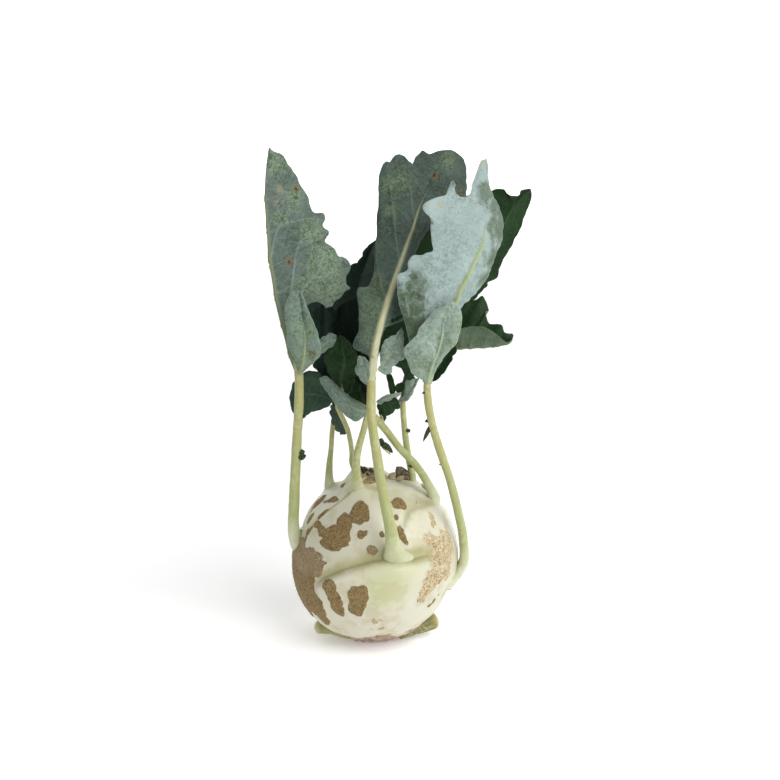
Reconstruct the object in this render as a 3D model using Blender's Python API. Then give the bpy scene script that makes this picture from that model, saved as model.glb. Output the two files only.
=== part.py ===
"""Kohlrabi with its leaves on: a swollen stem bulb standing on its flat cut base, eight leaves that each
have a stalk, a blade and in most cases small basal lobes, two cut leaf stubs at the foot, and a withered crown.

Lengths below are in millimetres and are turned into metres when each mesh is made. +Z is up, the origin is the
middle of the flat cut base, -Y is the front and +X the right-hand side.
"""

import math

import bpy
import numpy as np

# Driving dimensions
METRES = 0.001
BULB_RADIUS = 45.4
BULB_HEIGHT = 92.0
BULB_WAIST = 46.0  # height of the widest level
BASE_RADIUS = 14.0  # the flat cut that the bulb stands on
BULB_SEGMENTS = 48
BULB_RINGS = 26
GAP = 0.3  # clear space between neighbouring pieces
SKIN = 0.9  # thickness of a leaf blade
STALK_SIDES = 8
STALK_STEP = 9.0  # length of one stalk segment
BLADE_COLUMNS = (-1.0, -0.6, -0.12, 0.0, 0.12, 0.6, 1.0)  # from one margin over the rib to the other
VEIN_LEAD = 0.7  # how far a side vein runs towards the tip for each millimetre that it runs outwards

LEAN = ((0, 0.0), (12, -2.0), (45, 0.0), (75, 0.6), (92, 3.0))  # sideways drift of the bulb's axis by height
TERRACE_STEP = 2.0  # softness of the shelf below a leaf base
TERRACE_FADE = 22.0
TERRACE_DROP = 11.0  # the shelf sinks this far at its ends


def clear_scene():
    for old in list(bpy.data.objects):
        bpy.data.objects.remove(old, do_unlink=True)


def material(name, colour, roughness):
    made = bpy.data.materials.new(name)
    made.use_nodes = True
    shader = made.node_tree.nodes["Principled BSDF"]
    shader.inputs["Base Color"].default_value = (*colour, 1.0)
    shader.inputs["Roughness"].default_value = roughness
    shader.inputs["Metallic"].default_value = 0.0
    return made


def add_object(name, points, faces, finish):
    mesh = bpy.data.meshes.new(name)
    mesh.from_pydata([tuple(float(c) * METRES for c in p) for p in points], [], [tuple(f) for f in faces])
    mesh.materials.append(finish)
    mesh.shade_smooth()
    mesh.set_sharp_from_angle(angle=math.radians(50))
    made = bpy.data.objects.new(name, mesh)
    bpy.context.scene.collection.objects.link(made)
    return made


def smooth_line(points, steps):
    """steps + 1 points at equal distances along a smooth curve through the given ones."""
    knots = np.array(points, float)
    ends = np.vstack([2 * knots[0] - knots[1], knots, 2 * knots[-1] - knots[-2]])
    fine = []
    for before, start, end, after in zip(ends, ends[1:], ends[2:], ends[3:]):
        for t in np.linspace(0.0, 1.0, 12, endpoint=False):
            fine.append(
                0.5 * (2 * start + (end - before) * t + (2 * before - 5 * start + 4 * end - after) * t**2
                       + (3 * start - before - 3 * end + after) * t**3)
            )
    fine = np.array(fine + [knots[-1]])
    along = np.concatenate([[0.0], np.cumsum(np.linalg.norm(np.diff(fine, axis=0), axis=1))])
    wanted = np.linspace(0.0, along[-1], steps + 1)
    return np.stack([np.interp(wanted, along, fine[:, k]) for k in range(3)], axis=1)


def unit(vectors):
    return vectors / np.maximum(np.linalg.norm(vectors, axis=-1, keepdims=True), 1e-9)


# Stalk routes: centre points from the bulb to the blade, with the radius at the foot, the middle and the end
STALKS = {
    "stalk_left": (
        ((-39, -1, 50), (-43, -3, 54), (-45, -8, 65), (-44, -13, 82), (-42, -17, 111), (-40, -19, 139),
         (-40, -19, 153)),
        (5.0, 3.2, 2.8),
    ),
    "stalk_front": (
        ((11, -36, 52), (11, -42, 57), (10, -49, 67), (8, -53, 81), (5, -53, 94), (2, -51, 115), (-1, -47, 129),
         (-2, -43, 141), (-2, -40, 152)),
        (7.0, 4.2, 3.0),
    ),
    "stalk_right": (
        ((40, 4, 31), (45, 2, 35), (49, -4, 44), (48, -12, 59), (46, -16, 71), (40, -24, 96), (34, -30, 117),
         (29, -36, 140), (27, -38, 151)),
        (5.2, 3.2, 2.8),
    ),
    "stalk_back_left": (
        ((-24, 10, 77), (-26, 12, 84), (-26, 14, 94), (-25, 13, 103), (-24, 12, 115), (-22, 11, 127)),
        (3.2, 1.8, 1.6),
    ),
    "stalk_crown_left": (
        ((-8, 7, 86), (-10, 7, 91), (-13, 5, 98), (-13, 2, 105), (-15, -2, 118), (-20, -6, 131)),
        (2.8, 1.9, 1.7),
    ),
    "stalk_crown_front": (
        ((-10, -13, 84), (-10, -16, 89), (-10, -21, 104), (-9, -22, 112), (-6, -23, 123), (-4, -23, 131),
         (-3, -22, 137)),
        (5.0, 2.6, 2.2),
    ),
    "stalk_shoulder_right": (
        ((29, -4, 75), (32, -6, 80), (29, -9, 89), (22, -12, 101), (13, -13, 111), (5, -14, 122), (-4, -15, 132),
         (-12, -16, 137), (-16, -17, 139)),
        (4.8, 2.8, 2.2),
    ),
    "stalk_back_right": (
        ((19, 5, 80), (20, 4, 86), (20, 3, 93), (18, 1, 103), (16, -1, 118), (15, -2, 133)),
        (3.4, 2.3, 2.0),
    ),
}

# Leaf bases that raise a shelf on the bulb: the shelf's height and how far it runs round the bulb, in degrees
TERRACES = {
    "stalk_left": (1.5, 34),
    "stalk_front": (2.0, 44),
    "stalk_right": (1.5, 34),
    "stalk_crown_front": (1.6, 48),
    "stalk_shoulder_right": (1.6, 40),
    "stalk_back_left": (1.2, 36),
}


def bulb_skin(azimuth, height):
    """The point of the bulb's skin at an azimuth, measured from the front towards the right, and a height."""
    half = BULB_HEIGHT - BULB_WAIST
    if height < BULB_WAIST:
        half = BULB_WAIST / math.sqrt(1 - (BASE_RADIUS / BULB_RADIUS) ** 2)
    radius = BULB_RADIUS * math.sqrt(max(0.0, 1 - ((height - BULB_WAIST) / half) ** 2))
    for name, (rise, spread) in TERRACES.items():
        foot = STALKS[name][0][1]
        turn = azimuth - math.atan2(foot[0], -foot[1])
        turn = (turn + math.pi) % (2 * math.pi) - math.pi
        share = math.degrees(turn) / spread
        below = foot[2] - TERRACE_DROP * share**2 - height
        shelf = 1 / (1 + math.exp(-max(-30.0, min(30.0, below / TERRACE_STEP))))
        radius += rise * shelf * math.exp(-max(below, 0) / TERRACE_FADE - share**2) * min(1.0, height / 20)
    lean = np.interp(height, [level for level, _ in LEAN], [drift for _, drift in LEAN])
    return np.array([lean + radius * math.sin(azimuth), -radius * math.cos(azimuth), height])


def bulb_mesh(lift):
    """Points and faces of the bulb with its skin moved out by lift."""
    turns = [2 * math.pi * k / BULB_SEGMENTS for k in range(BULB_SEGMENTS)]
    base_angle = math.acos(BASE_RADIUS / BULB_RADIUS)
    points = []
    for ring in range(BULB_RINGS):
        angle = -base_angle + (math.pi / 2 + base_angle) * ring / BULB_RINGS
        if angle < 0:
            height = BULB_WAIST + BULB_WAIST * math.sin(angle) / math.sin(base_angle)
        else:
            height = BULB_WAIST + (BULB_HEIGHT - BULB_WAIST) * math.sin(angle)
        for turn in turns:
            level = math.cos(angle)
            outward = np.array([math.sin(turn) * level, -math.cos(turn) * level, math.sin(angle)])
            points.append(bulb_skin(turn, height) + lift * outward)
    points.append(np.array([LEAN[-1][1], 0.0, BULB_HEIGHT + lift]))
    top = len(points) - 1
    faces = [tuple(reversed(range(BULB_SEGMENTS)))]
    for ring in range(BULB_RINGS - 1):
        for k in range(BULB_SEGMENTS):
            a = ring * BULB_SEGMENTS + k
            b = ring * BULB_SEGMENTS + (k + 1) % BULB_SEGMENTS
            faces.append((a, b, b + BULB_SEGMENTS, a + BULB_SEGMENTS))
    last = (BULB_RINGS - 1) * BULB_SEGMENTS
    for k in range(BULB_SEGMENTS):
        faces.append((last + k, last + (k + 1) % BULB_SEGMENTS, top))
    return points, faces


def trim_to_bulb(piece, cutter):
    """Cuts away what lies inside the bulb or closer to it than the gap."""
    cut = piece.modifiers.new("Trim to bulb", "BOOLEAN")
    cut.operation = "DIFFERENCE"
    cut.solver = "EXACT"
    cut.object = cutter


def tube(name, route, radii, finish, sides=STALK_SIDES, step=STALK_STEP):
    """A round stalk along the route, its radius easing from the foot over the middle to the end."""
    length = np.linalg.norm(np.diff(np.array(route, float), axis=0), axis=1).sum()
    steps = max(4, round(length / step))
    centres = smooth_line(route, steps)
    share = np.linspace(0.0, 1.0, steps + 1)
    foot, middle, end = radii
    radius = middle + (foot - middle) * np.exp(-share * length / 6.0) + (end - middle) * share
    ahead = unit(np.gradient(centres, axis=0))
    side = np.array([1.0, 0.0, 0.0])
    points = []
    for centre, direction, size in zip(centres, ahead, radius):
        side = side - direction * np.dot(side, direction)
        side = side / np.linalg.norm(side)
        other = np.cross(direction, side)
        for k in range(sides):
            turn = 2 * math.pi * k / sides
            points.append(centre + size * (math.cos(turn) * side + math.sin(turn) * other))
    faces = [tuple(reversed(range(sides))), tuple(steps * sides + k for k in range(sides))]
    for ring in range(steps):
        for k in range(sides):
            a = ring * sides + k
            b = ring * sides + (k + 1) % sides
            faces.append((a, b, b + sides, a + sides))
    return add_object(name, points, faces, finish)


def margin_line(rib, margin, shares):
    """The margin's points for the given shares of the rib.

    Each margin point is reached by a side vein, which leaves the rib nearer the base than the point itself lies.
    """
    fine = smooth_line(rib, 60)
    ahead = unit(np.gradient(fine, axis=0))
    outer = np.array(margin, float)
    first = fine[0] + 1.5 * unit(outer[0] - fine[0] - ahead[0] * np.dot(outer[0] - fine[0], ahead[0]))
    last = fine[-1] + 0.8 * unit(outer[-1] - fine[-1])
    roots = [0.0]
    for point in outer:
        away = np.linalg.norm(fine - point, axis=1)
        direction = ahead[away.argmin()]
        root = np.linalg.norm(fine - (point - VEIN_LEAD * away.min() * direction), axis=1).argmin() / 60
        roots.append(min(0.985, max(root, roots[-1] + 0.015)))
    roots.append(1.0)
    stops = np.vstack([first, outer, last])
    return np.stack([np.interp(shares, roots, stops[:, k]) for k in range(3)], axis=1)


def blade(name, rib, left, right, outer_side, finish, rib_size=1.0, cup=2.0, rows=14):
    """A leaf blade as one closed shell.

    rib runs from base to tip, left and right are the margins as seen from the front, and outer_side is +1 where
    the pale underside faces the front and -1 where it faces the back. The rib stands out of the underside by
    rib_size.
    """
    shares = np.linspace(0.0, 1.0, rows + 1)
    middle = smooth_line(rib, rows)
    edges = {-1: margin_line(rib, left, shares), 1: margin_line(rib, right, shares)}
    grid = np.array([middle + abs(v) * (edges[1 if v > 0 else -1] - middle) for v in BLADE_COLUMNS])
    grid = grid.transpose(1, 0, 2)
    across = np.gradient(grid, axis=1)
    ahead = np.gradient(grid, axis=0)
    front = unit(np.cross(across, ahead))
    outward = front * outer_side
    arch = np.array([math.sin(math.pi * abs(v)) for v in BLADE_COLUMNS])
    ease = np.sin(math.pi * shares) ** 0.5
    grid = grid + outward * (cup * ease[:, None] * arch[None, :])[..., None]
    over = np.zeros(grid.shape[:2])
    over[:, BLADE_COLUMNS.index(0.0)] = rib_size * (1 - shares) ** 0.8 + 0.3
    outer = grid + outward * (SKIN / 2 + over)[..., None]
    inner = grid - outward * SKIN / 2
    width = len(BLADE_COLUMNS)
    size = (rows + 1) * width
    points = np.vstack([outer.reshape(-1, 3), inner.reshape(-1, 3)])
    faces = []
    for row in range(rows):
        for column in range(width - 1):
            a = row * width + column
            faces.append((a, a + 1, a + 1 + width, a + width))
            faces.append((size + a, size + a + width, size + a + 1 + width, size + a + 1))
    rim = list(range(width))
    rim += [r * width + width - 1 for r in range(1, rows + 1)]
    rim += [rows * width + c for c in range(width - 2, -1, -1)]
    rim += [r * width for r in range(rows - 1, 0, -1)]
    for a, b in zip(rim, rim[1:] + rim[:1]):
        faces.append((a, size + a, size + b, b))
    if outer_side < 0:
        faces = [tuple(reversed(face)) for face in faces]
    return add_object(name, points, faces, finish)


def make_bulb(finish):
    points, faces = bulb_mesh(0.0)
    add_object("bulb", points, faces, finish)
    points, faces = bulb_mesh(GAP)
    cutter = add_object("bulb_clearance", points, faces, finish)
    cutter.hide_render = True
    cutter.display_type = "WIRE"
    return cutter


def make_stalks(cutter, finish):
    for name, (route, radii) in STALKS.items():
        trim_to_bulb(tube(name, route, radii, finish), cutter)


def make_left_leaf(finish):
    blade(
        "blade_left",
        rib=((-40, -19, 154), (-43, -18, 168), (-48, -17, 184), (-53, -15, 207), (-57, -12, 238),
             (-56, -8, 257), (-54, -6, 268)),
        left=((-39, -6, 166), (-36, 5, 178), (-36, 12, 195), (-38, 15, 215), (-43, 13, 236), (-49, 6, 255)),
        right=((-34, -17, 166), (-32, -14, 185), (-26, -12, 188), (-20, -10, 195), (-13, -7, 208),
               (-20, -8, 217), (-26, -9, 234), (-33, -8, 238), (-39, -7, 250), (-46, -5, 264)),
        outer_side=1, finish=finish, rib_size=1.9, rows=20,
    )
    blade(
        "lobe_left_large",
        rib=((-39, -25, 156), (-37, -28, 165), (-37, -29, 176), (-38, -28, 187), (-40, -26, 198)),
        left=((-43, -27, 160), (-45, -29, 168), (-45, -30, 178), (-46, -29, 189), (-43, -27, 195)),
        right=((-35, -27, 159), (-28, -29, 167), (-30, -30, 177), (-33, -29, 186), (-37, -27, 195)),
        outer_side=1, finish=finish, cup=1.0,
    )
    blade(
        "lobe_left_small",
        rib=((-35, -21, 158), (-31, -20, 164), (-26, -19, 169), (-20, -17, 173)),
        left=((-34, -20, 163), (-29, -19, 170), (-24, -17, 174)),
        right=((-32, -20, 159), (-27, -19, 164), (-21, -18, 169)),
        outer_side=1, finish=finish, rib_size=0.5, cup=0.6, rows=8,
    )


def make_front_leaf(finish):
    blade(
        "blade_front",
        rib=((-2, -40, 153), (0, -36, 163), (2, -32, 173), (6, -28, 185), (10, -24, 198), (16, -18, 215),
             (24, -12, 236), (29, -8, 248), (36, -4, 262)),
        left=((-7, -36, 165), (-10, -33, 169), (-7, -29, 175), (-10, -26, 183), (-9, -21, 197), (-4, -18, 202),
              (-1, -14, 211), (1, -11, 225), (1, -6, 245), (3, -2, 260), (13, 1, 267), (21, 1, 261), (25, 1, 268),
              (32, 0, 268)),
        right=((3, -36, 162), (6, -31, 177), (14, -25, 183), (12, -23, 193), (18, -17, 215), (31, -10, 230),
               (42, -4, 236), (49, -2, 245), (48, 0, 259), (43, 0, 267)),
        outer_side=1, finish=finish, rib_size=2.2, cup=1.6, rows=22,
    )
    blade(
        "lobe_front_right",
        rib=((2, -35, 157), (6, -34, 161), (10, -32, 168), (14, -30, 178)),
        left=((4, -35, 164), (7, -34, 171), (11, -32, 177)),
        right=((7, -35, 156), (11, -33, 160), (15, -31, 166), (16, -30, 174)),
        outer_side=1, finish=finish, rib_size=0.5, cup=1.0, rows=8,
    )
    blade(
        "lobe_front_left",
        rib=((-6, -41, 151), (-8, -41, 155), (-10, -40, 160)),
        left=((-9, -41, 152), (-12, -40, 156)),
        right=((-6.5, -41, 155), (-8, -40.5, 159)),
        outer_side=1, finish=finish, rib_size=0.3, cup=0.4, rows=6,
    )


def make_right_leaf(finish):
    blade(
        "blade_right",
        rib=((27, -38, 152), (30, -37, 164), (35, -37, 179), (42, -36, 196), (51, -32, 213), (58, -27, 226),
             (60, -22, 241), (57, -18, 262)),
        left=((21, -36, 161), (17, -37, 172), (16, -38, 182), (11, -40, 197), (12, -40, 205), (18, -38, 211),
              (20, -36, 217), (29, -34, 219), (29, -33, 233), (24, -36, 241), (33, -31, 245), (40, -29, 252),
              (42, -28, 245), (50, -24, 242), (53, -20, 254)),
        right=((33, -35, 158), (38, -33, 171), (44, -31, 184), (54, -27, 198), (65, -17, 217), (69, -13, 229),
               (66, -13, 239), (61, -16, 252)),
        outer_side=1, finish=finish, rib_size=1.9, rows=22,
    )
    blade(
        "lobe_right",
        rib=((27, -43, 153), (29, -46, 162), (33, -48, 173), (37, -47, 184), (42, -43, 196)),
        left=((22, -43, 154), (18, -46, 162), (15, -47, 170), (20, -46, 177), (25, -45, 184), (35, -44, 193)),
        right=((31, -44, 157), (36, -47, 168), (43, -47, 177), (44, -45, 188)),
        outer_side=1, finish=finish, cup=1.0,
    )


def make_back_left_leaf(finish):
    blade(
        "blade_back_left",
        rib=((-22, 11, 128), (-20, 14, 148), (-15, 17, 170), (-10, 20, 192), (-5, 22, 207), (0, 23, 219)),
        left=((-29, 15, 146), (-35, 20, 164), (-32, 24, 182), (-20, 24, 196), (-14, 22, 205), (-5, 22, 217)),
        right=((-13, 18, 142), (-2, 27, 160), (7, 33, 181), (11, 32, 199), (6, 27, 213)),
        outer_side=-1, finish=finish, rib_size=1.2, cup=3.0, rows=16,
    )
    blade(
        "lobe_back_left_hanging",
        rib=((-22, 7, 131), (-21, 5, 123), (-17, 4, 114)),
        left=((-25, 6, 129), (-24, 4, 121), (-20, 4, 115)),
        right=((-19, 5, 128), (-17, 4, 121), (-15, 4, 116)),
        outer_side=-1, finish=finish, rib_size=0.4, cup=0.8, rows=8,
    )


def make_crown_left_leaf(finish):
    blade(
        "blade_crown_left",
        rib=((-21, -6, 132), (-24, -4, 146), (-25, -1, 162), (-27, 3, 177), (-28, 6, 187)),
        left=((-26, -6, 142), (-32, -4, 155), (-34, -1, 170), (-33, 3, 182)),
        right=((-18, -5, 144), (-17, -3, 157), (-17, 0, 173), (-22, 4, 184)),
        outer_side=-1, finish=finish, rows=12,
    )
    blade(
        "lobe_crown_left_spreading",
        rib=((-23, -8, 136), (-28, -9, 139), (-36, -10, 140), (-46, -10, 138)),
        left=((-26, -9, 133), (-32, -11, 132), (-39, -12, 129), (-45, -11, 132)),
        right=((-26, -8, 142), (-32, -8, 146), (-38, -8, 148), (-43, -9, 144)),
        outer_side=1, finish=finish, rib_size=0.6, cup=1.0, rows=10,
    )


def make_crown_front_leaf(finish):
    blade(
        "blade_crown_front",
        rib=((-3, -22, 138), (-4, -18, 147), (-7, -12, 160), (-11, -6, 175), (-15, -1, 189)),
        left=((-8, -15, 147), (-13, -10, 158), (-17, -6, 171), (-18, -2, 182)),
        right=((0, -16, 147), (-1, -11, 159), (-5, -6, 175), (-10, -1, 187)),
        outer_side=1, finish=finish, rows=12,
    )
    blade(
        "lobe_crown_front_rolled",
        rib=((-4, -26, 134), (-10, -28, 136), (-17, -28, 141), (-23, -26, 147), (-29, -22, 151)),
        left=((-6, -25, 131), (-11, -26, 129), (-18, -27, 135), (-24, -25, 143), (-28, -22, 148)),
        right=((-6, -25, 137), (-13, -26, 142), (-19, -25, 147), (-25, -22, 152)),
        outer_side=1, finish=finish, rib_size=0.6, cup=1.5, rows=12,
    )


def make_shoulder_right_leaf(finish):
    blade(
        "blade_shoulder_right",
        rib=((-17, -17, 141), (-18, -18, 149), (-16, -19, 159), (-17, -18, 166), (-18, -16, 173)),
        left=((-22, -18, 149), (-26, -18, 159), (-26, -17, 164), (-21, -16, 170)),
        right=((-13, -19, 143), (-10, -20, 152), (-9, -20, 161), (-14, -18, 170)),
        outer_side=-1, finish=finish, rib_size=0.8, cup=1.2, rows=12,
    )


def make_back_right_leaf(finish):
    blade(
        "blade_back_right",
        rib=((15, -2, 134), (18, 3, 149), (25, 8, 165), (36, 14, 183), (52, 18, 203), (66, 20, 222), (78, 20, 241),
             (84, 20, 247)),
        left=((11, 0, 151), (10, 4, 167), (11, 8, 188), (13, 12, 208), (22, 15, 225), (40, 17, 239), (58, 18, 246),
              (73, 19, 244), (79, 20, 248)),
        right=((21, 5, 144), (31, 10, 158), (45, 16, 176), (59, 20, 190), (67, 23, 204), (76, 25, 219),
               (83, 24, 237), (86, 22, 244)),
        outer_side=-1, finish=finish, rib_size=1.3, rows=22,
    )
    blade(
        "lobe_back_right_folded",
        rib=((29, 5, 158), (38, 3, 160), (47, 1, 162), (57, -3, 163), (67, -6, 165), (73, -8, 168)),
        left=((37, 10, 171), (47, 13, 183), (55, 13, 187), (59, 12, 190), (61, 9, 178), (69, 4, 173)),
        right=((38, -1, 165), (46, -6, 172), (58, -11, 175), (64, -13, 173), (69, -12, 169)),
        outer_side=-1, finish=finish, rib_size=0.6, cup=0.5, rows=14,
    )
    blade(
        "lobe_back_right_low",
        rib=((26, -1, 143), (34, -2, 150), (41, -5, 158)),
        left=((26, 3, 150), (31, 3, 155), (37, -1, 159)),
        right=((33, -6, 146), (39, -9, 152), (43, -8, 157)),
        outer_side=-1, finish=finish, rib_size=0.4, cup=0.5, rows=8,
    )
    blade(
        "lobe_back_right_curled",
        rib=((17, -6, 134), (20, -9, 137), (23, -10, 142), (22, -9, 148)),
        left=((14, -4, 139), (16, -3, 144), (20, -5, 149)),
        right=((18, -10, 138), (20, -13, 142), (21, -12, 147)),
        outer_side=-1, finish=finish, rib_size=0.3, cup=0.3, rows=8,
    )
    blade(
        "lobe_back_right_drooping",
        rib=((12, -6, 133), (8, -9, 132), (4, -10, 129), (1, -9, 124)),
        left=((11, -7, 130), (9, -9, 126), (5, -9, 123)),
        right=((10, -7, 136), (5, -9, 136), (0, -9, 131)),
        outer_side=-1, finish=finish, rib_size=0.3, cup=0.5, rows=8,
    )


def make_stubs(cutter, finish):
    trim_to_bulb(
        tube("cut_stub_left", ((-15, -13, 6), (-22, -10, 5.2), (-32, -7, 5.2)), (4.8, 4.8, 4.6), finish, 12, 4),
        cutter,
    )
    trim_to_bulb(
        tube("cut_stub_right", ((16, -7, 7), (24, -3, 7), (33, 1, 8)), (5.0, 5.0, 4.6), finish, 12, 4),
        cutter,
    )


def make_crown(cutter, dry):
    trim_to_bulb(
        tube("crown_bud", ((-1, 0, 86), (-2, 0, 92), (-4, -1, 96)), (6.5, 4.5, 1.2), dry, step=2.5), cutter
    )
    scale = blade(
        "dry_leaf_base",
        rib=((13, 1, 88), (13, 2, 94), (15, 3, 99)),
        left=((10, 1, 90.5), (11, 2, 95.5)),
        right=((15, 0, 90.5), (15.5, 2, 95)),
        outer_side=1, finish=dry, rib_size=0.2, cup=0.4, rows=6,
    )
    trim_to_bulb(scale, cutter)


clear_scene()
bulb_skin_finish = material("bulb_skin", (0.70, 0.70, 0.48), 0.45)
stalk_green = material("stalk_green", (0.45, 0.50, 0.22), 0.40)
pale_leaf = material("pale_leaf_underside", (0.20, 0.29, 0.21), 0.60)
dark_leaf = material("dark_leaf_face", (0.03, 0.10, 0.035), 0.45)
dry_brown = material("dry_brown", (0.20, 0.13, 0.07), 0.85)

clearance = make_bulb(bulb_skin_finish)
make_stalks(clearance, stalk_green)
make_left_leaf(pale_leaf)
make_front_leaf(pale_leaf)
make_right_leaf(pale_leaf)
make_back_left_leaf(dark_leaf)
make_crown_left_leaf(dark_leaf)
make_crown_front_leaf(pale_leaf)
make_shoulder_right_leaf(dark_leaf)
make_back_right_leaf(dark_leaf)
make_stubs(clearance, stalk_green)
make_crown(clearance, dry_brown)
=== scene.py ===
# %% [markdown]
# # A kohlrabi with its leaves on
# A kohlrabi is a swollen stem. Its leaves leave the bulb in a spiral: each one has a round stalk, a wide
# blade with a pale rib, and small flaps of blade low on the stalk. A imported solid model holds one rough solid
# for each of these pieces. This lesson grows a finer piece over each solid and measures how far the two boxes
# differ. The outlines, routes and patches are lists of measured points, and are not worked out from a few
# sizes. Lengths are written in millimetres and are turned into metres when a mesh is made.

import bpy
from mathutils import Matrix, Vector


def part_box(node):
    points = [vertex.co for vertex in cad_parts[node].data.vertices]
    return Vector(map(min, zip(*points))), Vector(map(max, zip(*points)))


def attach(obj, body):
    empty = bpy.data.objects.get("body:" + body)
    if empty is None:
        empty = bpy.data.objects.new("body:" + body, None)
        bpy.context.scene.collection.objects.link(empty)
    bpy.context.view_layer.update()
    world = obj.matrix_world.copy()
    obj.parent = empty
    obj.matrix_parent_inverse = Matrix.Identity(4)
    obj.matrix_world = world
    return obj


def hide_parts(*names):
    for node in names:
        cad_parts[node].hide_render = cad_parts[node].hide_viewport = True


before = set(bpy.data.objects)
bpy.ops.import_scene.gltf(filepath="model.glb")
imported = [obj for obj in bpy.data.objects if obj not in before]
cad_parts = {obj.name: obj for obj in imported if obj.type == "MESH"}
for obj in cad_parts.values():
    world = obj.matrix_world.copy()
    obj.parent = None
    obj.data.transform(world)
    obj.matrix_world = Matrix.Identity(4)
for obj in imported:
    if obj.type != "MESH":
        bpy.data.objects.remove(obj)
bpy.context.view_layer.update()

# %% Blender's own tools
import math

import bpy
import numpy as np
from mathutils import Vector, kdtree

MM = 0.001
scene = bpy.context.scene
print("nodes in the solid model:", len(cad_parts))

# %% [markdown]
# ## The room
# The bulb and leaves are matt and pale, so they want a bright room with no hard shadow. A nearly white
# floor sends light back up under the bulb, a large soft lamp at the front right gives the stalks a light side
# and a dark side, and a weak lamp at the left fills in. The camera looks down at the plant by twelve degrees.

# %% Floor, light and camera
def plain_sheet(name, corners, colour, glow):
    """A flat sheet of the room. glow is how brightly it shines by itself."""
    mesh = bpy.data.meshes.new(name)
    mesh.from_pydata(corners, [], [(0, 1, 2, 3)])
    made = bpy.data.objects.new(name, mesh)
    scene.collection.objects.link(made)
    coat = bpy.data.materials.new(name + "_coat")
    coat.use_nodes = True
    shader = coat.node_tree.nodes["Principled BSDF"]
    shader.inputs["Base Color"].default_value = (colour, colour, colour, 1)
    shader.inputs["Roughness"].default_value = 0.9
    shader.inputs["Emission Color"].default_value = (1, 1, 1, 1)
    shader.inputs["Emission Strength"].default_value = glow
    mesh.materials.append(coat)


def lamp(name, place, size, power, aim):
    light = bpy.data.lights.new(name, "AREA")
    light.size = size
    light.energy = power
    made = bpy.data.objects.new(name, light)
    scene.collection.objects.link(made)
    made.location = place
    away = made.location - aim
    made.rotation_euler = away.to_track_quat("Z", "Y").to_euler()


AIM = Vector((0.008, 0.0, 0.140))  # the point that the camera and both lamps face, in metres
CAMERA_AWAY = 0.680  # metres from that point to the camera
CAMERA_RISE = math.radians(12)
CAMERA_LENS = 57.8  # millimetres
WALL = 2.4  # metres from the plant to the bright wall behind it
plain_sheet("floor", [(-4, -4, 0), (4, -4, 0), (4, WALL, 0), (-4, WALL, 0)], colour=0.92, glow=0.27)
plain_sheet("wall", [(-4, WALL, 0), (4, WALL, 0), (4, WALL, 4), (-4, WALL, 4)], colour=0.9, glow=0.85)
lamp("window", (1.0, -0.95, 1.25), size=1.5, power=32, aim=AIM)
lamp("fill", (-1.3, -0.9, 0.8), size=1.6, power=2, aim=AIM)
world = bpy.data.worlds.new("bright_room")
world.use_nodes = True
world.node_tree.nodes["Background"].inputs["Color"].default_value = (1.0, 1.0, 1.0, 1)
world.node_tree.nodes["Background"].inputs["Strength"].default_value = 0.25
scene.world = world
scene.view_settings.view_transform = "Standard"

camera = bpy.data.objects.new("camera", bpy.data.cameras.new("camera"))
scene.collection.objects.link(camera)
camera.data.lens = CAMERA_LENS
camera.location = (
    AIM.x, -CAMERA_AWAY * math.cos(CAMERA_RISE), AIM.z + CAMERA_AWAY * math.sin(CAMERA_RISE)
)
camera.rotation_euler = (math.pi / 2 - CAMERA_RISE, 0, 0)
scene.camera = camera
print("camera stands at", [round(c, 3) for c in camera.location])

# %% [markdown]
# ## Smooth lines and soft waves
# Stalks and ribs follow smooth lines through a few measured points. Nothing that grew is even, so every
# surface also gets soft waves: a sum of a few sine waves in random directions. The random numbers are
# seeded, so the plant grows the same way each time.

# %% Lines and waves
def unit(vectors):
    return vectors / np.maximum(np.linalg.norm(vectors, axis=-1, keepdims=True), 1e-9)


def smooth_line(points, steps):
    """steps + 1 points at equal distances along a smooth curve through the given ones."""
    knots = np.array(points, float)
    ends = np.vstack([2 * knots[0] - knots[1], knots, 2 * knots[-1] - knots[-2]])
    fine = []
    for before, start, end, after in zip(ends, ends[1:], ends[2:], ends[3:]):
        for t in np.linspace(0.0, 1.0, 12, endpoint=False):
            fine.append(
                0.5 * (2 * start + (end - before) * t + (2 * before - 5 * start + 4 * end - after) * t**2
                       + (3 * start - before - 3 * end + after) * t**3)
            )
    fine = np.array(fine + [knots[-1]])
    along = np.concatenate([[0.0], np.cumsum(np.linalg.norm(np.diff(fine, axis=0), axis=1))])
    wanted = np.linspace(0.0, along[-1], steps + 1)
    return np.stack([np.interp(wanted, along, fine[:, k]) for k in range(3)], axis=1)


CURVE_STEPS = 400


def along_line(points, shares):
    """Points of the smooth curve at the given shares of its length."""
    fine = smooth_line(points, CURVE_STEPS)
    even = np.linspace(0, 1, CURVE_STEPS + 1)
    return np.stack([np.interp(shares, even, fine[:, k]) for k in range(3)], axis=1)


def length_of(points):
    return np.linalg.norm(np.diff(np.array(points, float), axis=0), axis=1).sum()


def waves(points, size, seed):
    """Soft random heights of about -1 to 1 over points, with bumps about size across."""
    dice = np.random.default_rng(seed)
    directions = unit(dice.normal(size=(9, 3)))
    lengths = size * dice.uniform(1.2, 2.6, 9)
    phases = dice.uniform(0, 2 * math.pi, 9)
    return np.sin(2 * math.pi * (points @ directions.T) / lengths + phases).sum(axis=-1) / 2.6


def ease(value, low, high):
    """0 below low, 1 above high, and a smooth rise between them."""
    t = np.clip((value - low) / (high - low), 0.0, 1.0)
    return t * t * (3 - 2 * t)


bent = smooth_line(((0, 0, 0), (5, 0, 9), (5, 0, 20)), 30)
print("length of a bent line:", round(length_of(bent), 1), "mm")

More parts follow.
